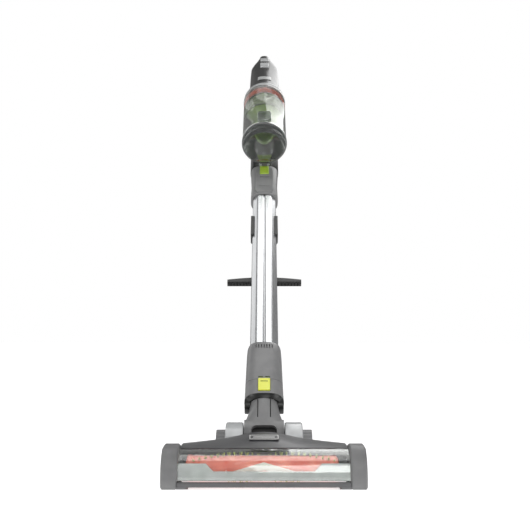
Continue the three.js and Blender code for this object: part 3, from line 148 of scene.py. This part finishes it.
def linear(colour):
    """An sRGB hex colour as linear RGBA."""
    parts = [int(colour[i:i + 2], 16) / 255 for i in (1, 3, 5)]
    return tuple(p / 12.92 if p <= 0.04045 else ((p + 0.055) / 1.055) ** 2.4 for p in parts) + (1.0,)


def add_node(tree, kind, settings=None, links=None):
    """Adds a shader node, sets its sockets and properties by name, and links its sockets."""
    node = tree.nodes.new("ShaderNode" + kind)
    for key, value in (settings or {}).items():
        if isinstance(key, int) or key in node.inputs:
            node.inputs[key].default_value = value
        else:
            setattr(node, key, value)
    for key, source in (links or {}).items():
        tree.links.new(source, node.inputs[key])
    return node


def new_material(name):
    """An empty material and its tree, with the object's own coordinates for patterns."""
    material = bpy.data.materials.new(name)
    material.use_nodes = True
    tree = material.node_tree
    tree.nodes.clear()
    place = add_node(tree, "TexCoord").outputs["Object"]
    return material, tree, place


def noise(tree, place, size, detail, roughness=0.5):
    """A 0 to 1 noise with features about size millimetres across."""
    settings = {"Scale": 1 / (size * MM), "Detail": detail, "Roughness": roughness}
    return add_node(tree, "TexNoise", settings, {"Vector": place}).outputs["Fac"]


def drawn_out(tree, place, scale):
    """Coordinates scaled along each axis: a pattern is stretched where the scale is small."""
    return add_node(tree, "Mapping", {"Scale": scale}, {"Vector": place}).outputs["Vector"]


def spread(tree, source, low, high):
    """A 0 to 1 value carried to the range low to high."""
    return add_node(tree, "MapRange", {"To Min": low, "To Max": high}, {"Value": source}).outputs["Result"]


def two_tone(tree, source, colours):
    """A colour between two hex colours, by a 0 to 1 value."""
    ramp = add_node(tree, "ValToRGB", links={"Fac": source})
    for stop, colour, at in zip(ramp.color_ramp.elements, colours, (0.3, 0.7)):
        stop.color = linear(colour)
        stop.position = at
    return ramp.outputs["Color"]


def relief(tree, height, strength, depth):
    """A normal bent by a 0 to 1 height that stands for depth millimetres."""
    settings = {"Strength": strength, "Distance": depth * MM}
    return add_node(tree, "Bump", settings, {"Height": height}).outputs["Normal"]


def close(material, tree, settings, links):
    """Ends a tree in one Principled surface."""
    surface = add_node(tree, "BsdfPrincipled", settings, links)
    add_node(tree, "OutputMaterial", links={"Surface": surface.outputs["BSDF"]})
    return material


# ---------- materials ----------


def moulded(name, colours, roughness, grain=0.9, height=0.02, coat=0.0):
    """Injection-moulded ABS: a spark-eroded tool leaves a fine even grain that breaks up the highlights,
    handling leaves soft duller patches, and the colour drifts a little over each piece."""
    material, tree, place = new_material(name)
    patches = noise(tree, place, 22, 4.0)
    texture = noise(tree, place, grain, 3.0)
    return close(
        material, tree,
        {"IOR": 1.53, "Coat Weight": coat, "Coat Roughness": 0.08},
        {
            "Base Color": two_tone(tree, patches, colours),
            "Roughness": spread(tree, patches, roughness * 0.8, roughness * 1.25),
            "Normal": relief(tree, texture, 0.25, height),
        },
    )


def polished(name, colours, roughness=0.09):
    """High-gloss ABS from a polished tool: mirror-like, with the faint sink waves and the fine wipe marks
    that show where a bright light runs over it."""
    material, tree, place = new_material(name)
    waves = noise(tree, place, 14, 1.0)
    wipe_marks = noise(tree, drawn_out(tree, place, (1, 6, 1)), 3, 6.0)
    return close(
        material, tree,
        {"IOR": 1.53, "Coat Weight": 0.5, "Coat Roughness": 0.03},
        {
            "Base Color": two_tone(tree, waves, colours),
            "Roughness": spread(tree, wipe_marks, roughness * 0.6, roughness * 1.8),
            "Normal": relief(tree, waves, 0.12, 0.05),
        },
    )


def polycarbonate(name, colours, clearness, roughness=0.03):
    """Clear polycarbonate: bright edges and strong reflections, with a film of dust and fine scratches that
    softens them in places."""
    material, tree, place = new_material(name)
    haze = noise(tree, place, 30, 3.0)
    scratches = noise(tree, drawn_out(tree, place, (1, 1, 9)), 2, 5.0)
    return close(
        material, tree,
        {"IOR": 1.585, "Transmission Weight": clearness},
        {
            "Base Color": two_tone(tree, haze, colours),
            "Roughness": spread(tree, scratches, roughness * 0.5, roughness * 2.2),
        },
    )


def anodised_tube():
    """Extruded aluminium, brushed along its length and clear anodised: streaks run up the tube, so a light
    stretches into a soft vertical band on each flat."""
    material, tree, place = new_material("anodised_aluminium")
    turn = (-math.asin(UP.y), 0, 0)
    along = add_node(tree, "Mapping", {"Rotation": turn, "vector_type": "TEXTURE"}, {"Vector": place})
    # real brushing is finer than 0.1 mm, drawn at 0.5 mm so that it shows
    streaks = noise(tree, drawn_out(tree, along.outputs["Vector"], (1, 1, 0.012)), 0.5, 4.0)
    return close(
        material, tree,
        {"Metallic": 1.0},
        {
            "Base Color": two_tone(tree, streaks, ("#c9cbcd", "#e2e3e4")),
            "Roughness": spread(tree, streaks, 0.2, 0.36),
            "Normal": relief(tree, streaks, 0.12, 0.02),
        },
    )


def turned_steel():
    """Plain steel pins and cans: a grey metal with fine turning rings round X and a few dull spots."""
    material, tree, place = new_material("turned_steel")
    rings = add_node(tree, "TexWave", {"Scale": 1 / (2.4 * MM), "Distortion": 0.6}, {"Vector": place})
    spots = noise(tree, place, 4, 4.0)
    return close(
        material, tree,
        {"Metallic": 1.0},
        {
            "Base Color": two_tone(tree, spots, ("#8f9194", "#b4b6b8")),
            "Roughness": spread(tree, spots, 0.22, 0.4),
            "Normal": relief(tree, rings.outputs["Fac"], 0.2, 0.02),
        },
    )


def soft_rubber():
    """Moulded rubber: black, dull and slightly bloomed, so it greys where it is handled."""
    material, tree, place = new_material("soft_rubber")
    bloom = noise(tree, place, 9, 6.0)
    grit = noise(tree, place, 0.5, 2.0)
    return close(
        material, tree,
        {"IOR": 1.52},
        {
            "Base Color": two_tone(tree, bloom, ("#161616", "#2b2b2a")),
            "Roughness": spread(tree, bloom, 0.68, 0.9),
            "Normal": relief(tree, grit, 0.4, 0.03),
        },
    )


def pleated_felt():
    """Needled polyester felt: short fibres that scatter the light, and dust lodged in the folds."""
    material, tree, place = new_material("pleated_felt")
    fibres = noise(tree, place, 0.6, 5.0, roughness=0.7)
    dulled = spread(tree, noise(tree, place, 7, 3.0), 0.0, 0.4)
    blend = add_node(tree, "Math", {"operation": "MULTIPLY_ADD", 1: 0.6}, {0: fibres, 2: dulled})
    return close(
        material, tree,
        {"Roughness": 0.95, "Sheen Weight": 0.4, "Sheen Roughness": 0.5},
        {
            "Base Color": two_tone(tree, blend.outputs["Value"], ("#8e3a28", "#d0664a")),
            "Normal": relief(tree, fibres, 0.7, 0.2),
        },
    )


def nylon_bristle():
    """Crimped nylon fibres: waxy yellow-green, with a little light carried through them."""
    material, tree, place = new_material("nylon_bristle")
    fibres = noise(tree, place, 1.2, 2.0)
    return close(
        material, tree,
        {"IOR": 1.53, "Subsurface Weight": 0.15, "Subsurface Radius": (0.001, 0.001, 0.0005)},
        {
            "Base Color": two_tone(tree, fibres, ("#a6c02c", "#d3e25c")),
            "Roughness": spread(tree, fibres, 0.35, 0.6),
        },
    )


def white_marks_and_glare_finish():
    """A dull white with a short fluffy pile and no shine, in two close whites: the white of the window's
    light marks, and a painted highlight where the brush's white strips stand in for glare on its glossy
    core.
    """
    material, tree, place = new_material("white_marks_and_painted_glare")
    pile = noise(tree, place, 0.8, 5.0)
    return close(
        material, tree,
        {"Roughness": 0.95, "Sheen Weight": 0.5},
        {
            "Base Color": two_tone(tree, pile, ("#e6e0d8", "#fdfaf4")),
            "Normal": relief(tree, pile, 0.6, 0.3),
        },
    )


def punched_screen():
    """Stainless sheet punched with rows of round holes: dark dots 1.6 mm apart over a satin grey-green."""
    material, tree, place = new_material("punched_screen")
    pattern = {"Scale": 1 / (1.6 * MM), "Randomness": 0.0, "feature": "F1"}
    holes = add_node(tree, "TexVoronoi", pattern, {"Vector": place})
    rim = {"From Min": 0.28, "From Max": 0.36}
    metal = add_node(tree, "MapRange", rim, {"Value": holes.outputs["Distance"]}).outputs["Result"]
    return close(
        material, tree,
        {"Metallic": 0.4},
        {
            "Base Color": two_tone(tree, metal, ("#141812", "#6f7a5c")),
            "Roughness": spread(tree, metal, 0.8, 0.35),
            "Normal": relief(tree, metal, 0.8, 0.2),
        },
    )


def studio_floor():
    """Opal acrylic lit softly from below: even, dull and pale, with the faintest grain."""
    material, tree, place = new_material("studio_floor")
    grain = add_node(tree, "TexNoise", {"Scale": 60.0, "Detail": 2.0}, {"Vector": place})
    glow = {"Emission Color": (1, 1, 1, 1), "Emission Strength": FLOOR_GLOW}
    return close(
        material, tree,
        {"Roughness": 0.9, "Specular IOR Level": 0.1, **glow},
        {"Base Color": two_tone(tree, grain.outputs["Fac"], ("#f4f4f4", "#fafafa"))},
    )


# one finish for each material slot of the CAD
FINISHES = {
    "housing_grey": moulded("satin_grey_abs", ("#7b7b7c", "#898989"), 0.36),
    "cap_grey": moulded("cap_grey_abs", ("#727273", "#808080"), 0.42),
    "hood_grey": moulded("hood_grey_abs", ("#545456", "#606061"), 0.34, height=0.01, coat=0.15),
    "dark_plastic": moulded("charcoal_abs", ("#131413", "#1d1e1d"), 0.3, height=0.008),
    "black_plastic": moulded("black_abs", ("#0f0f0f", "#191919"), 0.5, grain=0.7),
    "gloss_grey": polished("pearl_grey_abs", ("#bfc1c2", "#cfd1d2")),
    "clear_plastic": polycarbonate("clear_polycarbonate", ("#f6faf6", "#fdfffd"), 1.0),
    "smoke_plastic": polycarbonate("smoked_polycarbonate", ("#7d857c", "#959c93"), 0.75, 0.08),
    "lime_plastic": moulded("lime_abs", ("#9dbd30", "#b0d040"), 0.3, grain=0.7, coat=0.3),
    "yellow_plastic": moulded("yellow_abs", ("#eef046", "#f6fb62"), 0.32, grain=0.7, coat=0.3),
    "green_plastic": polycarbonate("green_polycarbonate", ("#5f8010", "#7a9c1c"), 0.35, 0.14),
    "filter_orange": pleated_felt(),
    "brush_red": polished("red_abs", ("#e8604a", "#f48870"), 0.18),
    "tuft_green": nylon_bristle(),
    "rubber_black": soft_rubber(),
    "wand_aluminium": anodised_tube(),
    "steel": turned_steel(),
}
rim_grey = moulded("dark_grey_abs", ("#4c4d4d", "#5a5b5b"), 0.3, coat=0.3)
ring_grey = moulded("pale_grey_abs", ("#aeb0af", "#bec0bf"), 0.34)
white_ink = moulded("white_ink", ("#e4e4e2", "#f0f0ee"), 0.5, grain=0.5)
mark_green = moulded("olive_ink", ("#3c4a10", "#4a5a18"), 0.5, grain=0.5)
# the matte white of the window's marks, also used for the painted highlight of the brush's glare strips
white_marks_and_glare = white_marks_and_glare_finish()
screen = punched_screen()

# ---------- making pieces ----------


def soften(obj, width):
    """Rounds an object's sharp edges and smooths the rest."""
    obj.data.polygons.foreach_set("use_smooth", [True] * len(obj.data.polygons))
    weld = obj.modifiers.new("weld", "WELD")
    weld.merge_threshold = 0.01 * MM
    bevel = obj.modifiers.new("edges", "BEVEL")
    bevel.width = width * MM
    bevel.segments = 2
    bevel.limit_method = "ANGLE"
    bevel.angle_limit = math.radians(EDGE_ANGLE)
    bevel.harden_normals = True


def dress(node, material, width):
    """Gives a CAD node its finish and rounds its edges."""
    obj = frame["nodes"][node]
    obj.data.materials.clear()
    obj.data.materials.append(material)
    # normals stored with the mesh would override the ones that follow the rounded edges
    if "custom_normal" in obj.data.attributes:
        obj.data.attributes.remove(obj.data.attributes["custom_normal"])
    soften(obj, width)


def piece(name, shape, place, stands_for, material=None, width=0.0, rides=None):
    """Turns a bmesh into a piece that stands for one or more CAD nodes, or is added beside one."""
    mesh = bpy.data.meshes.new(name)
    bmesh.ops.recalc_face_normals(shape, faces=shape.faces)
    shape.to_mesh(mesh)
    shape.free()
    mesh.transform(place)
    obj = bpy.data.objects.new(name, mesh)
    bpy.context.scene.collection.objects.link(obj)
    node = stands_for[0] if stands_for else rides
    mesh.materials.append(material or FINISHES[SLOTS[node]])
    mesh.polygons.foreach_set("use_smooth", [True] * len(mesh.polygons))
    if width:
        soften(obj, width)
    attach(obj, BODIES[node])
    if stands_for:
        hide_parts(*stands_for)


def skin(shape, rings, ends):
    """Joins each ring of vertices to the next. ends is "joined" for first to last, "capped" or "open"."""
    following = rings[1:] + (rings[:1] if ends == "joined" else [])
    for ring, after in zip(rings, following):
        for k in range(len(ring)):
            n = (k + 1) % len(ring)
            shape.faces.new((ring[k], ring[n], after[n], after[k]))
    if ends == "capped":
        shape.faces.new(rings[0])
        shape.faces.new(rings[-1])


def circle_angles(sides):
    """The angle of each corner of a ring, once round."""
    return [2 * math.pi * k / sides for k in range(sides)]


def turned(outline, lift=None):
    """A closed outline of (radius, height) turned about Z. lift(y, i) moves outline point i up at y."""
    shape = bmesh.new()
    rings = []
    for i, (radius, height) in enumerate(outline):
        ring = []
        for angle in circle_angles(ROUND_SIDES):
            x, y = radius * math.cos(angle), radius * math.sin(angle)
            z = height + (lift(y, i) if lift else 0)
            ring.append(shape.verts.new((x, y, z)))
        rings.append(ring)
    skin(shape, rings, "joined")
    bmesh.ops.remove_doubles(shape, verts=shape.verts, dist=1e-4)
    return shape


def add_block(shape, low, high, turn=None):
    """Adds a block between two corners to a bmesh, turned by a matrix."""
    middle = (Vector(low) + Vector(high)) / 2
    size = Vector(high) - Vector(low)
    at = (turn or Matrix.Identity(4)) @ Matrix.Translation(middle) @ Matrix.Diagonal((*size, 1))
    bmesh.ops.create_cube(shape, size=1, matrix=at)


# ---------- the dust cup and what it holds ----------

cup_low, cup_high = stick_box("dust_cup")
ring_low, ring_high = stick_box("cup_ring")
lid_low, lid_high = stick_box("lid_rim")
CUP_RADIUS = (cup_high.x - cup_low.x) / 2
CUP_PLACE = STICK @ Matrix.Translation((0, cup_low.y + CUP_RADIUS, 0))
SLOPE = math.tan(math.radians(LID_SLANT))
LID_Z = (lid_low.z + lid_high.z + LID_THICK) / 2
LID_IN_CUP = Matrix.Translation((0, 0, LID_Z)) @ slanted_by(LID_SLANT)
LID_PLACE = CUP_PLACE @ LID_IN_CUP


def slanted(low_points):
    """Lifts the numbered outline points so that they follow the lid's slant."""
    return lambda y, i: -y * SLOPE if i in low_points else 0


def dust_cup():
    """A clear wall with a thicker lip at the lid and a bead under the ring."""
    outer, inner = CUP_RADIUS, CUP_RADIUS - CUP_WALL
    slim = outer - 0.7
    low, top = LID_Z + 0.3, cup_high.z
    outline = [
        (inner, low), (outer - 0.3, low), (outer, low + 0.5), (outer, low + 4), (slim, low + 5),
        (slim, top - 5), (outer, top - 4), (outer, top), (inner, top), (inner, low + 6),
    ]
    shape = turned(outline, slanted({0, 1, 2, 3, 4, 9}))
    for left, right in ((-11, -6), (6, 11)):
        low_corner = (left, CUP_RADIUS, -LID_THICK)
        high_corner = (right, CUP_RADIUS + 5, 6)
        add_block(shape, low_corner, high_corner, LID_IN_CUP)
    piece("cup_wall", shape, CUP_PLACE, ["dust_cup"])


def lid():
    """A dark rim that hooks round a clear disc, with a knuckle for the hinge pin."""
    outer, inner = CUP_RADIUS + LID_OVERHANG, CUP_RADIUS - LID_LAP
    under = -LID_THICK
    rim = turned([
        (inner, under), (outer - 1.6, under), (outer - 0.5, under + 0.5), (outer, under + 1.6),
        (outer, -0.3), (outer - 0.3, 0), (inner, 0),
    ])
    add_block(rim, (-5.6, outer - 1.5, under), (5.6, outer + 4.5, -0.2))
    piece("lid_frame", rim, LID_PLACE, ["lid_rim"], material=rim_grey, width=FINE_EDGE)
    edge = inner - 0.3
    pane = turned([(0, -3.2), (edge - 3, -3.2), (edge - 1, -3.8), (edge, -3.8), (edge, -1), (0, -1.2)])
    piece("lid_window", pane, LID_PLACE, ["lid_pane"])


def cup_ring():
    """The collar between the cup and the motor unit: a seam groove, then a shoulder that rounds inward."""
    radius = (ring_high.x - ring_low.x) / 2
    low, top = ring_low.z, ring_high.z
    groove = radius - 0.8
    outline = [
        (radius - 8, low), (radius - 0.6, low), (radius, low + 0.6), (radius, low + 5),
        (groove, low + 5.3), (groove, low + 6.1), (radius, low + 6.4), (radius - 0.1, low + 9),
        (radius - 0.9, low + 11.5), (radius - 2, low + 13.4), (radius - 3.6, low + 15.2),
        (radius - 5, top - 1.5), (radius - 8, top),
    ]
    piece("cup_collar", turned(outline), CUP_PLACE, ["cup_ring"], material=ring_grey, width=0.15)


def cyclone():
    """The green inner body: a flared cone over a narrow throat, with moulded steps."""
    low, high = stick_box("cyclone_cone")
    base, top = low.z, high.z
    radius = (high.x - low.x) / 2
    outer = [
        (13, base), (13.4, base + 12), (14.6, base + 13), (16, base + 30), (18, base + 44),
        (18.8, base + 45), (24, base + 78), (radius, base + 84), (radius, top),
    ]
    inner = [(radius - 2, top), (radius - 2, base + 86), (14, base + 30), (11, base)]
    piece("cyclone_body", turned(outer + inner), CUP_PLACE, ["cyclone_cone"])


def screen_sleeve():
    """The punched screen round the cyclone, in three banded rows."""
    low, high = stick_box("mesh_screen")
    radius = (high.x - low.x) / 2
    inner, sunk = radius - 2.4, radius - 0.8
    step = (high.z - low.z) / SCREEN_ROWS
    outline = [(inner, low.z)]
    for i in range(SCREEN_ROWS):
        z = low.z + i * step
        outline += [(radius, z + 0.4), (radius, z + 2.4), (sunk, z + 2.9), (sunk, z + step - 1)]
    outline += [(radius, high.z - 0.5), (inner, high.z)]
    piece("screen_sleeve", turned(outline), CUP_PLACE, ["mesh_screen"], material=screen)


def filter_pleats():
    """The pleated felt round the top of the cyclone, each fold rounded over."""
    low, high = stick_box("filter_band")
    radius = (high.x - low.x) / 2
    inner = radius - 9
    shape = bmesh.new()
    rings = []
    for folded, z in ((False, low.z), (True, low.z), (True, high.z), (False, high.z)):
        ring = []
        for angle in circle_angles(PLEATS * 4):
            fold = PLEAT_DEPTH / 2 * (1 - math.cos(PLEATS * angle))
            r = radius - fold if folded else inner
            ring.append(shape.verts.new((r * math.cos(angle), r * math.sin(angle), z)))
        rings.append(ring)
    skin(shape, rings, "joined")
    piece("filter_pleats", shape, CUP_PLACE, ["filter_band"])


dust_cup()
lid()
cup_ring()
cyclone()
screen_sleeve()
filter_pleats()

# ---------- the brush roll, drawn about its own axle along X ----------

BRUSH_PLACE = Matrix.Translation(Vector(joints["brush_spin"]["pos_m"])) @ TO_METRES
tuft_low, tuft_high = world_box("brush_tufts")
core_low, core_high = world_box("brush_core")
pulley_low = world_box("brush_pulley")[0]
BRUSH_RADIUS = (tuft_high.z - tuft_low.z) / 2
CORE_RADIUS = (core_high.z - core_low.z) / 2
TUFT_HALF = (tuft_high.x - tuft_low.x) / 2
ROOT_RADIUS = CORE_RADIUS - ROOT_DEPTH


def row_angle(row, x):
    """Where a row of the brush lies round the core at x: each row is a V with its point in the middle."""
    return math.pi * (row + 0.25) + BRUSH_TWIST * abs(x)


def core_radius(x, angle, half):
    """The core's radius: a raised land by each row, thin journals at the ends and a stub in the pulley."""
    if abs(x) > half - JOURNAL_LENGTH:
        return JOURNAL_RADIUS
    apart = min(abs(math.remainder(angle - row_angle(row, x), 2 * math.pi)) for row in range(TUFT_ROWS))
    land = LAND_HEIGHT * max(0, 1 - (apart / LAND_REACH) ** 4)
    radius = CORE_RADIUS + land - LAND_SINK
    return min(radius, STUB_RADIUS) if x > pulley_low.x - 1.5 else radius


def brush_core():
    """The red core with a raised land under each row of tufts."""
    half = (core_high.x - core_low.x) / 2
    steps, sides = 72, 48
    shape = bmesh.new()
    rings = []
    for i in range(steps + 1):
        x = -half + 2 * half * i / steps
        ring = []
        for angle in circle_angles(sides):
            r = core_radius(x, angle, half)
            y, z = r * math.cos(angle + math.pi / 2), r * math.sin(angle + math.pi / 2)
            ring.append(shape.verts.new((x, y, z)))
        rings.append(ring)
    skin(shape, rings, "capped")
    piece("brush_barrel", shape, BRUSH_PLACE, ["brush_core"])


def add_bristle(shape, place, foot, lean, reach):
    """One thin tapered bristle from the core out to reach."""
    half = BRISTLE_WIDTH / 2
    corners = [(-half, -half), (half, -half), (half, half), (-half, half)]
    rings = []
    for share, taper in ((0, 1), (0.6, 0.95), (1, 0.5)):
        radial = ROOT_RADIUS + share * (reach - ROOT_RADIUS)
        at = Vector((foot.x * (1 + share * lean), radial, foot.z * (1 + share * lean)))
        points = [place @ (at + Vector((x * taper, 0, z * taper))) for x, z in corners]
        rings.append([shape.verts.new(point) for point in points])
    skin(shape, rings, "capped")


def brush_tufts():
    """Bundles of nylon bristles, splayed a little, in two V-shaped rows."""
    rng = random.Random(SEED)
    shape = bmesh.new()
    count = int(TUFT_HALF / TUFT_PITCH)
    for row in range(TUFT_ROWS):
        for i in range(-count, count + 1):
            x = i * TUFT_PITCH
            place = Matrix.Translation((x, 0, 0)) @ Matrix.Rotation(row_angle(row, x), 4, "X")
            for _ in range(BRISTLES):
                around = rng.uniform(0, 2 * math.pi)
                out = rng.uniform(0, TUFT_SPREAD)
                foot = Vector((math.cos(around) * out, 0, math.sin(around) * out))
                reach = BRUSH_RADIUS * rng.uniform(0.94, 0.985)
                lean = rng.uniform(1.1, 1.7)
                add_bristle(shape, place, foot, lean, reach)
    piece("bristle_tufts", shape, BRUSH_PLACE, ["brush_tufts"])


def painted_glare_strips():
    """Pale strips beside the tufts, widest in the middle: a painted highlight that stands in for the glare
    on the glossy red core.
    """
    steps = 60
    half = TUFT_HALF - 2
    outer = CORE_RADIUS + STRIP_HEIGHT
    eased = outer - 0.6
    section = [(ROOT_RADIUS, 0), (eased, 0), (outer, 0.2), (outer, 0.8), (eased, 1), (ROOT_RADIUS, 1)]
    shape = bmesh.new()
    for row in range(TUFT_ROWS):
        rings = []
        for i in range(steps + 1):
            x = -half + 2 * half * i / steps
            start = row_angle(row, x) + STRIP_GAP + math.pi / 2
            wide = STRIP_NARROW + STRIP_WIDEN * (1 - abs(x) / half)
            ring = []
            for r, share in section:
                angle = start + wide * share
                ring.append(shape.verts.new((x, r * math.cos(angle), r * math.sin(angle))))
            rings.append(ring)
        skin(shape, rings, "capped")
    # white strips painted as the glare on the core's glossy red
    piece("painted_glare_strips", shape, BRUSH_PLACE, [], material=white_marks_and_glare, rides="brush_core")


brush_core()
brush_tufts()
painted_glare_strips()

# ---------- the tube ----------


def soft_corner(before, corner, after, share=0.2, steps=5):
    """Points round a corner, starting and ending a share of the way along its two sides."""
    start, end = corner.lerp(before, share), corner.lerp(after, share)
    return [
        start * (1 - t) ** 2 + corner * 2 * t * (1 - t) + end * t ** 2
        for t in (k / steps for k in range(steps + 1))
    ]


def flute(sign, y):
    """Points across a shallow groove in the flat at y. sign is 1 for the front and -1 for the back."""
    points = []
    for k in range(-FLUTE_STEPS, FLUTE_STEPS + 1):
        across = k / FLUTE_STEPS
        dip = FLUTE_DEPTH * (0.5 + 0.5 * math.cos(math.pi * across))
        points.append(Vector((sign * across * FLUTE_WIDTH / 2, y + sign * dip)))
    return points


def tube_outline(half, deep):
    """A tube's section: flat front and back, each with a shallow flute down its middle."""
    flat, side = half * TUBE_FLAT, deep * TUBE_SIDE
    corners = [Vector(corner) for corner in (
        (-flat, -deep), (flat, -deep), (half, -side), (half, side),
        (flat, deep), (-flat, deep), (-half, side), (-half, -side),
    )]
    points = []
    for i, corner in enumerate(corners):
        points += soft_corner(corners[i - 1], corner, corners[(i + 1) % len(corners)])
        if i == 0:
            points += flute(1, corner.y)
        elif i == 4:
            points += flute(-1, corner.y)
    return points


def wand_tube():
    """The extruded tube, open at both ends."""
    low, high = stick_box("wand_tube")
    deep = (high.y - low.y) / 2
    outside = tube_outline(high.x, deep)
    inside = tube_outline(high.x - TUBE_WALL, deep - TUBE_WALL)
    shape = bmesh.new()
    rings = []
    for outline, z in ((outside, low.z), (outside, high.z), (inside, high.z), (inside, low.z)):
        rings.append([shape.verts.new((point.x, point.y, z)) for point in outline])
    skin(shape, rings, "joined")
    piece("tube_shell", shape, STICK, ["wand_tube"], width=0.12)


wand_tube()

# ---------- small marks ----------


def window_ticks():
    """Light marks along the top of the window's lower bar, in the same white as the brush's painted glare
    strips.
    """
    low = world_box("window_trim")[0]
    half = TICK_WIDTH / 2
    shape = bmesh.new()
    for i in range(TICKS):
        x = (i - (TICKS - 1) / 2) * TICK_PITCH
        add_block(shape, (x - half, low.y + 0.2, low.z + 9.4), (x + half, low.y + 2.4, low.z + 12.6))
    piece("window_ticks", shape, TO_METRES, [], material=white_marks_and_glare, rides="window_trim")


def plate_normal(node):
    """The direction that a flat plate's upper side looks in: the mean of its upward faces."""
    faces = [face for face in frame["nodes"][node].data.polygons if face.normal.z > 0.3]
    return sum((face.normal * face.area for face in faces), Vector((0, 0, 0))).normalized()


def emblem_border():
    """A raised pale border and a plain bar on the emblem plate."""
    low, high = world_box("emblem_plate")
    normal = plate_normal("emblem_plate")
    tilt = math.atan2(-normal.y, normal.z)
    half = (high.x - low.x) / 2
    deep = (high.y - low.y) / 2 / math.cos(tilt)
    top = PLATE_THICK / 2 + EMBLEM_RISE
    foot = top - 0.5
    x_line, y_line = half - EMBLEM_LINE, deep - EMBLEM_LINE
    thin = EMBLEM_LINE / 2
    shape = bmesh.new()
    for y in (-y_line, y_line):
        add_block(shape, (-x_line, y - thin, foot), (x_line, y + thin, top))
    for x in (-x_line, x_line):
        add_block(shape, (x - thin, -y_line, foot), (x + thin, y_line, top))
    bar_half = half * 0.72
    add_block(shape, (-bar_half, -EMBLEM_LINE, foot), (bar_half, EMBLEM_LINE, top))
    place = TO_METRES @ Matrix.Translation((low + high) / 2) @ Matrix.Rotation(tilt, 4, "X")
    piece("emblem_border", shape, place, [], material=white_ink, rides="emblem_plate", width=0.1)


def button_marks():
    """Two olive bars moulded in above the lower button, and a dash across the button."""
    low, high = stick_box("collar_button")
    bar_front, bar_back = low.y + 2.2, low.y + 3.9
    bars = bmesh.new()
    for left, right in ((-8.8, -1.6), (1.6, 8.8)):
        add_block(bars, (left, bar_front, high.z + 2.8), (right, bar_back, high.z + 4.8))
    piece("collar_bars", bars, STICK, [], material=mark_green, rides="lower_collar")
    dash = bmesh.new()
    dash_front, dash_back = low.y - 0.05, low.y + 0.7
    add_block(dash, (-5.4, dash_front, high.z - 6.9), (5.4, dash_back, high.z - 5.7))
    piece("button_dash", dash, STICK, [], material=mark_green, rides="collar_button")


def neck_lines():
    """Dark shadow strips in the two grooves down the neck's front."""
    front = stick_box("neck_duct")[0].y + 2.6
    half = GROOVE_WIDTH / 2
    shape = bmesh.new()
    for x in (-GROOVE_PITCH / 2, GROOVE_PITCH / 2):
        add_block(shape, (x - half, front, 15.2), (x + half, front + 1.5, 47))
    piece("neck_grooves", shape, STICK, [], material=FINISHES["black_plastic"], rides="neck_duct")


window_ticks()
emblem_border()
button_marks()
neck_lines()

# ---------- CAD nodes that stay, each with its finish ----------

SMALL = {
    "connector_latch", "release_lever", "cup_latch", "power_button", "display_lens", "label_plate",
    "emblem_plate", "collar_button", "battery_latch", "tool_teeth", "lid_hinge_pin",
}
OTHER_FINISHES = {
    "emblem_plate": FINISHES["hood_grey"],
    "label_plate": ring_grey,
    "front_bumper": FINISHES["hood_grey"],
}
REPLACED = {
    "wand_tube", "dust_cup", "lid_rim", "lid_pane", "cup_ring", "cyclone_cone", "mesh_screen",
    "filter_band", "brush_core", "brush_tufts",
}
for node_name, slot_name in SLOTS.items():
    if node_name not in REPLACED:
        finish = OTHER_FINISHES.get(node_name, FINISHES[slot_name])
        dress(node_name, finish, FINE_EDGE if node_name in SMALL else EDGE)

# ---------- floor, light and camera ----------


def floor():
    """A large pale sweep under the cleaner."""
    bpy.ops.mesh.primitive_plane_add(size=FLOOR_SIZE, location=(0, 0.3, 0))
    plane = bpy.context.object
    plane.name = "studio_floor"
    plane.data.materials.append(studio_floor())


def softbox(name, at, target, size, power, gloss_only=False):
    """One rectangular area light aimed at a point.

    A gloss card shows in shiny surfaces without lighting dull ones.
    """
    light = bpy.data.lights.new(name, "AREA")
    light.shape = "RECTANGLE"
    light.size, light.size_y = size
    light.energy = power
    lamp = bpy.data.objects.new(name, light)
    lamp.location = at
    lamp.rotation_euler = (Vector(target) - Vector(at)).to_track_quat("-Z", "Y").to_euler()
    lamp.visible_diffuse = not gloss_only
    bpy.context.scene.collection.objects.link(lamp)


def white_world():
    """A white cyclorama: white to the eye and through clear plastic, softer grey as a light."""
    world = bpy.data.worlds.new("studio")
    world.use_nodes = True
    tree = world.node_tree
    tree.nodes.clear()
    rays = add_node(tree, "LightPath").outputs
    either = {0: rays["Is Camera Ray"], 1: rays["Is Transmission Ray"]}
    seen = add_node(tree, "Math", {"operation": "MAXIMUM"}, either)
    strength = spread(tree, seen.outputs["Value"], WORLD_LIGHT, 1.0)
    sky = add_node(tree, "Background", {"Color": (1, 1, 1, 1)}, {"Strength": strength})
    add_node(tree, "OutputWorld", links={"Surface": sky.outputs["Background"]})
    bpy.context.scene.world = world


def lights():
    """Soft boxes all round, and behind the cleaner a card that only its shiny surfaces show."""
    middle = (0, 0.25, 0.3)
    softbox("right_box", (1.6, -0.9, 0.7), middle, (0.9, 1.3), 9)
    softbox("left_box", (-1.7, -0.9, 0.9), middle, (0.7, 1.1), 8)
    softbox("left_back_box", (-1.6, 1.7, 1.3), middle, (1.2, 1.2), 4)
    softbox("top_box", (0.0, 0.1, 2.1), (0, 0.1, 0), (1.5, 1.5), 11)
    softbox("front_box", (0.2, -2.2, 1.3), (0, 0, 0.2), (0.5, 1.4), 8)
    softbox("gloss_card", (0.54, 1.15, 1.4), (0.54, 0.45, 0.65), (0.9, 1.3), 9, gloss_only=True)


def camera():
    """A level camera, low in front of the cleaner."""
    data = bpy.data.cameras.new("camera")
    data.lens = CAMERA_LENS
    data.sensor_width = SENSOR_WIDTH
    data.clip_start = 0.01
    eye = bpy.data.objects.new("camera", data)
    eye.location = CAMERA_AT
    eye.rotation_euler = (math.pi / 2, 0, 0)
    bpy.context.scene.collection.objects.link(eye)
    bpy.context.scene.camera = eye


floor()
white_world()
lights()
camera()
bpy.context.scene.view_settings.view_transform = "Standard"

bpy.context.view_layer.update()
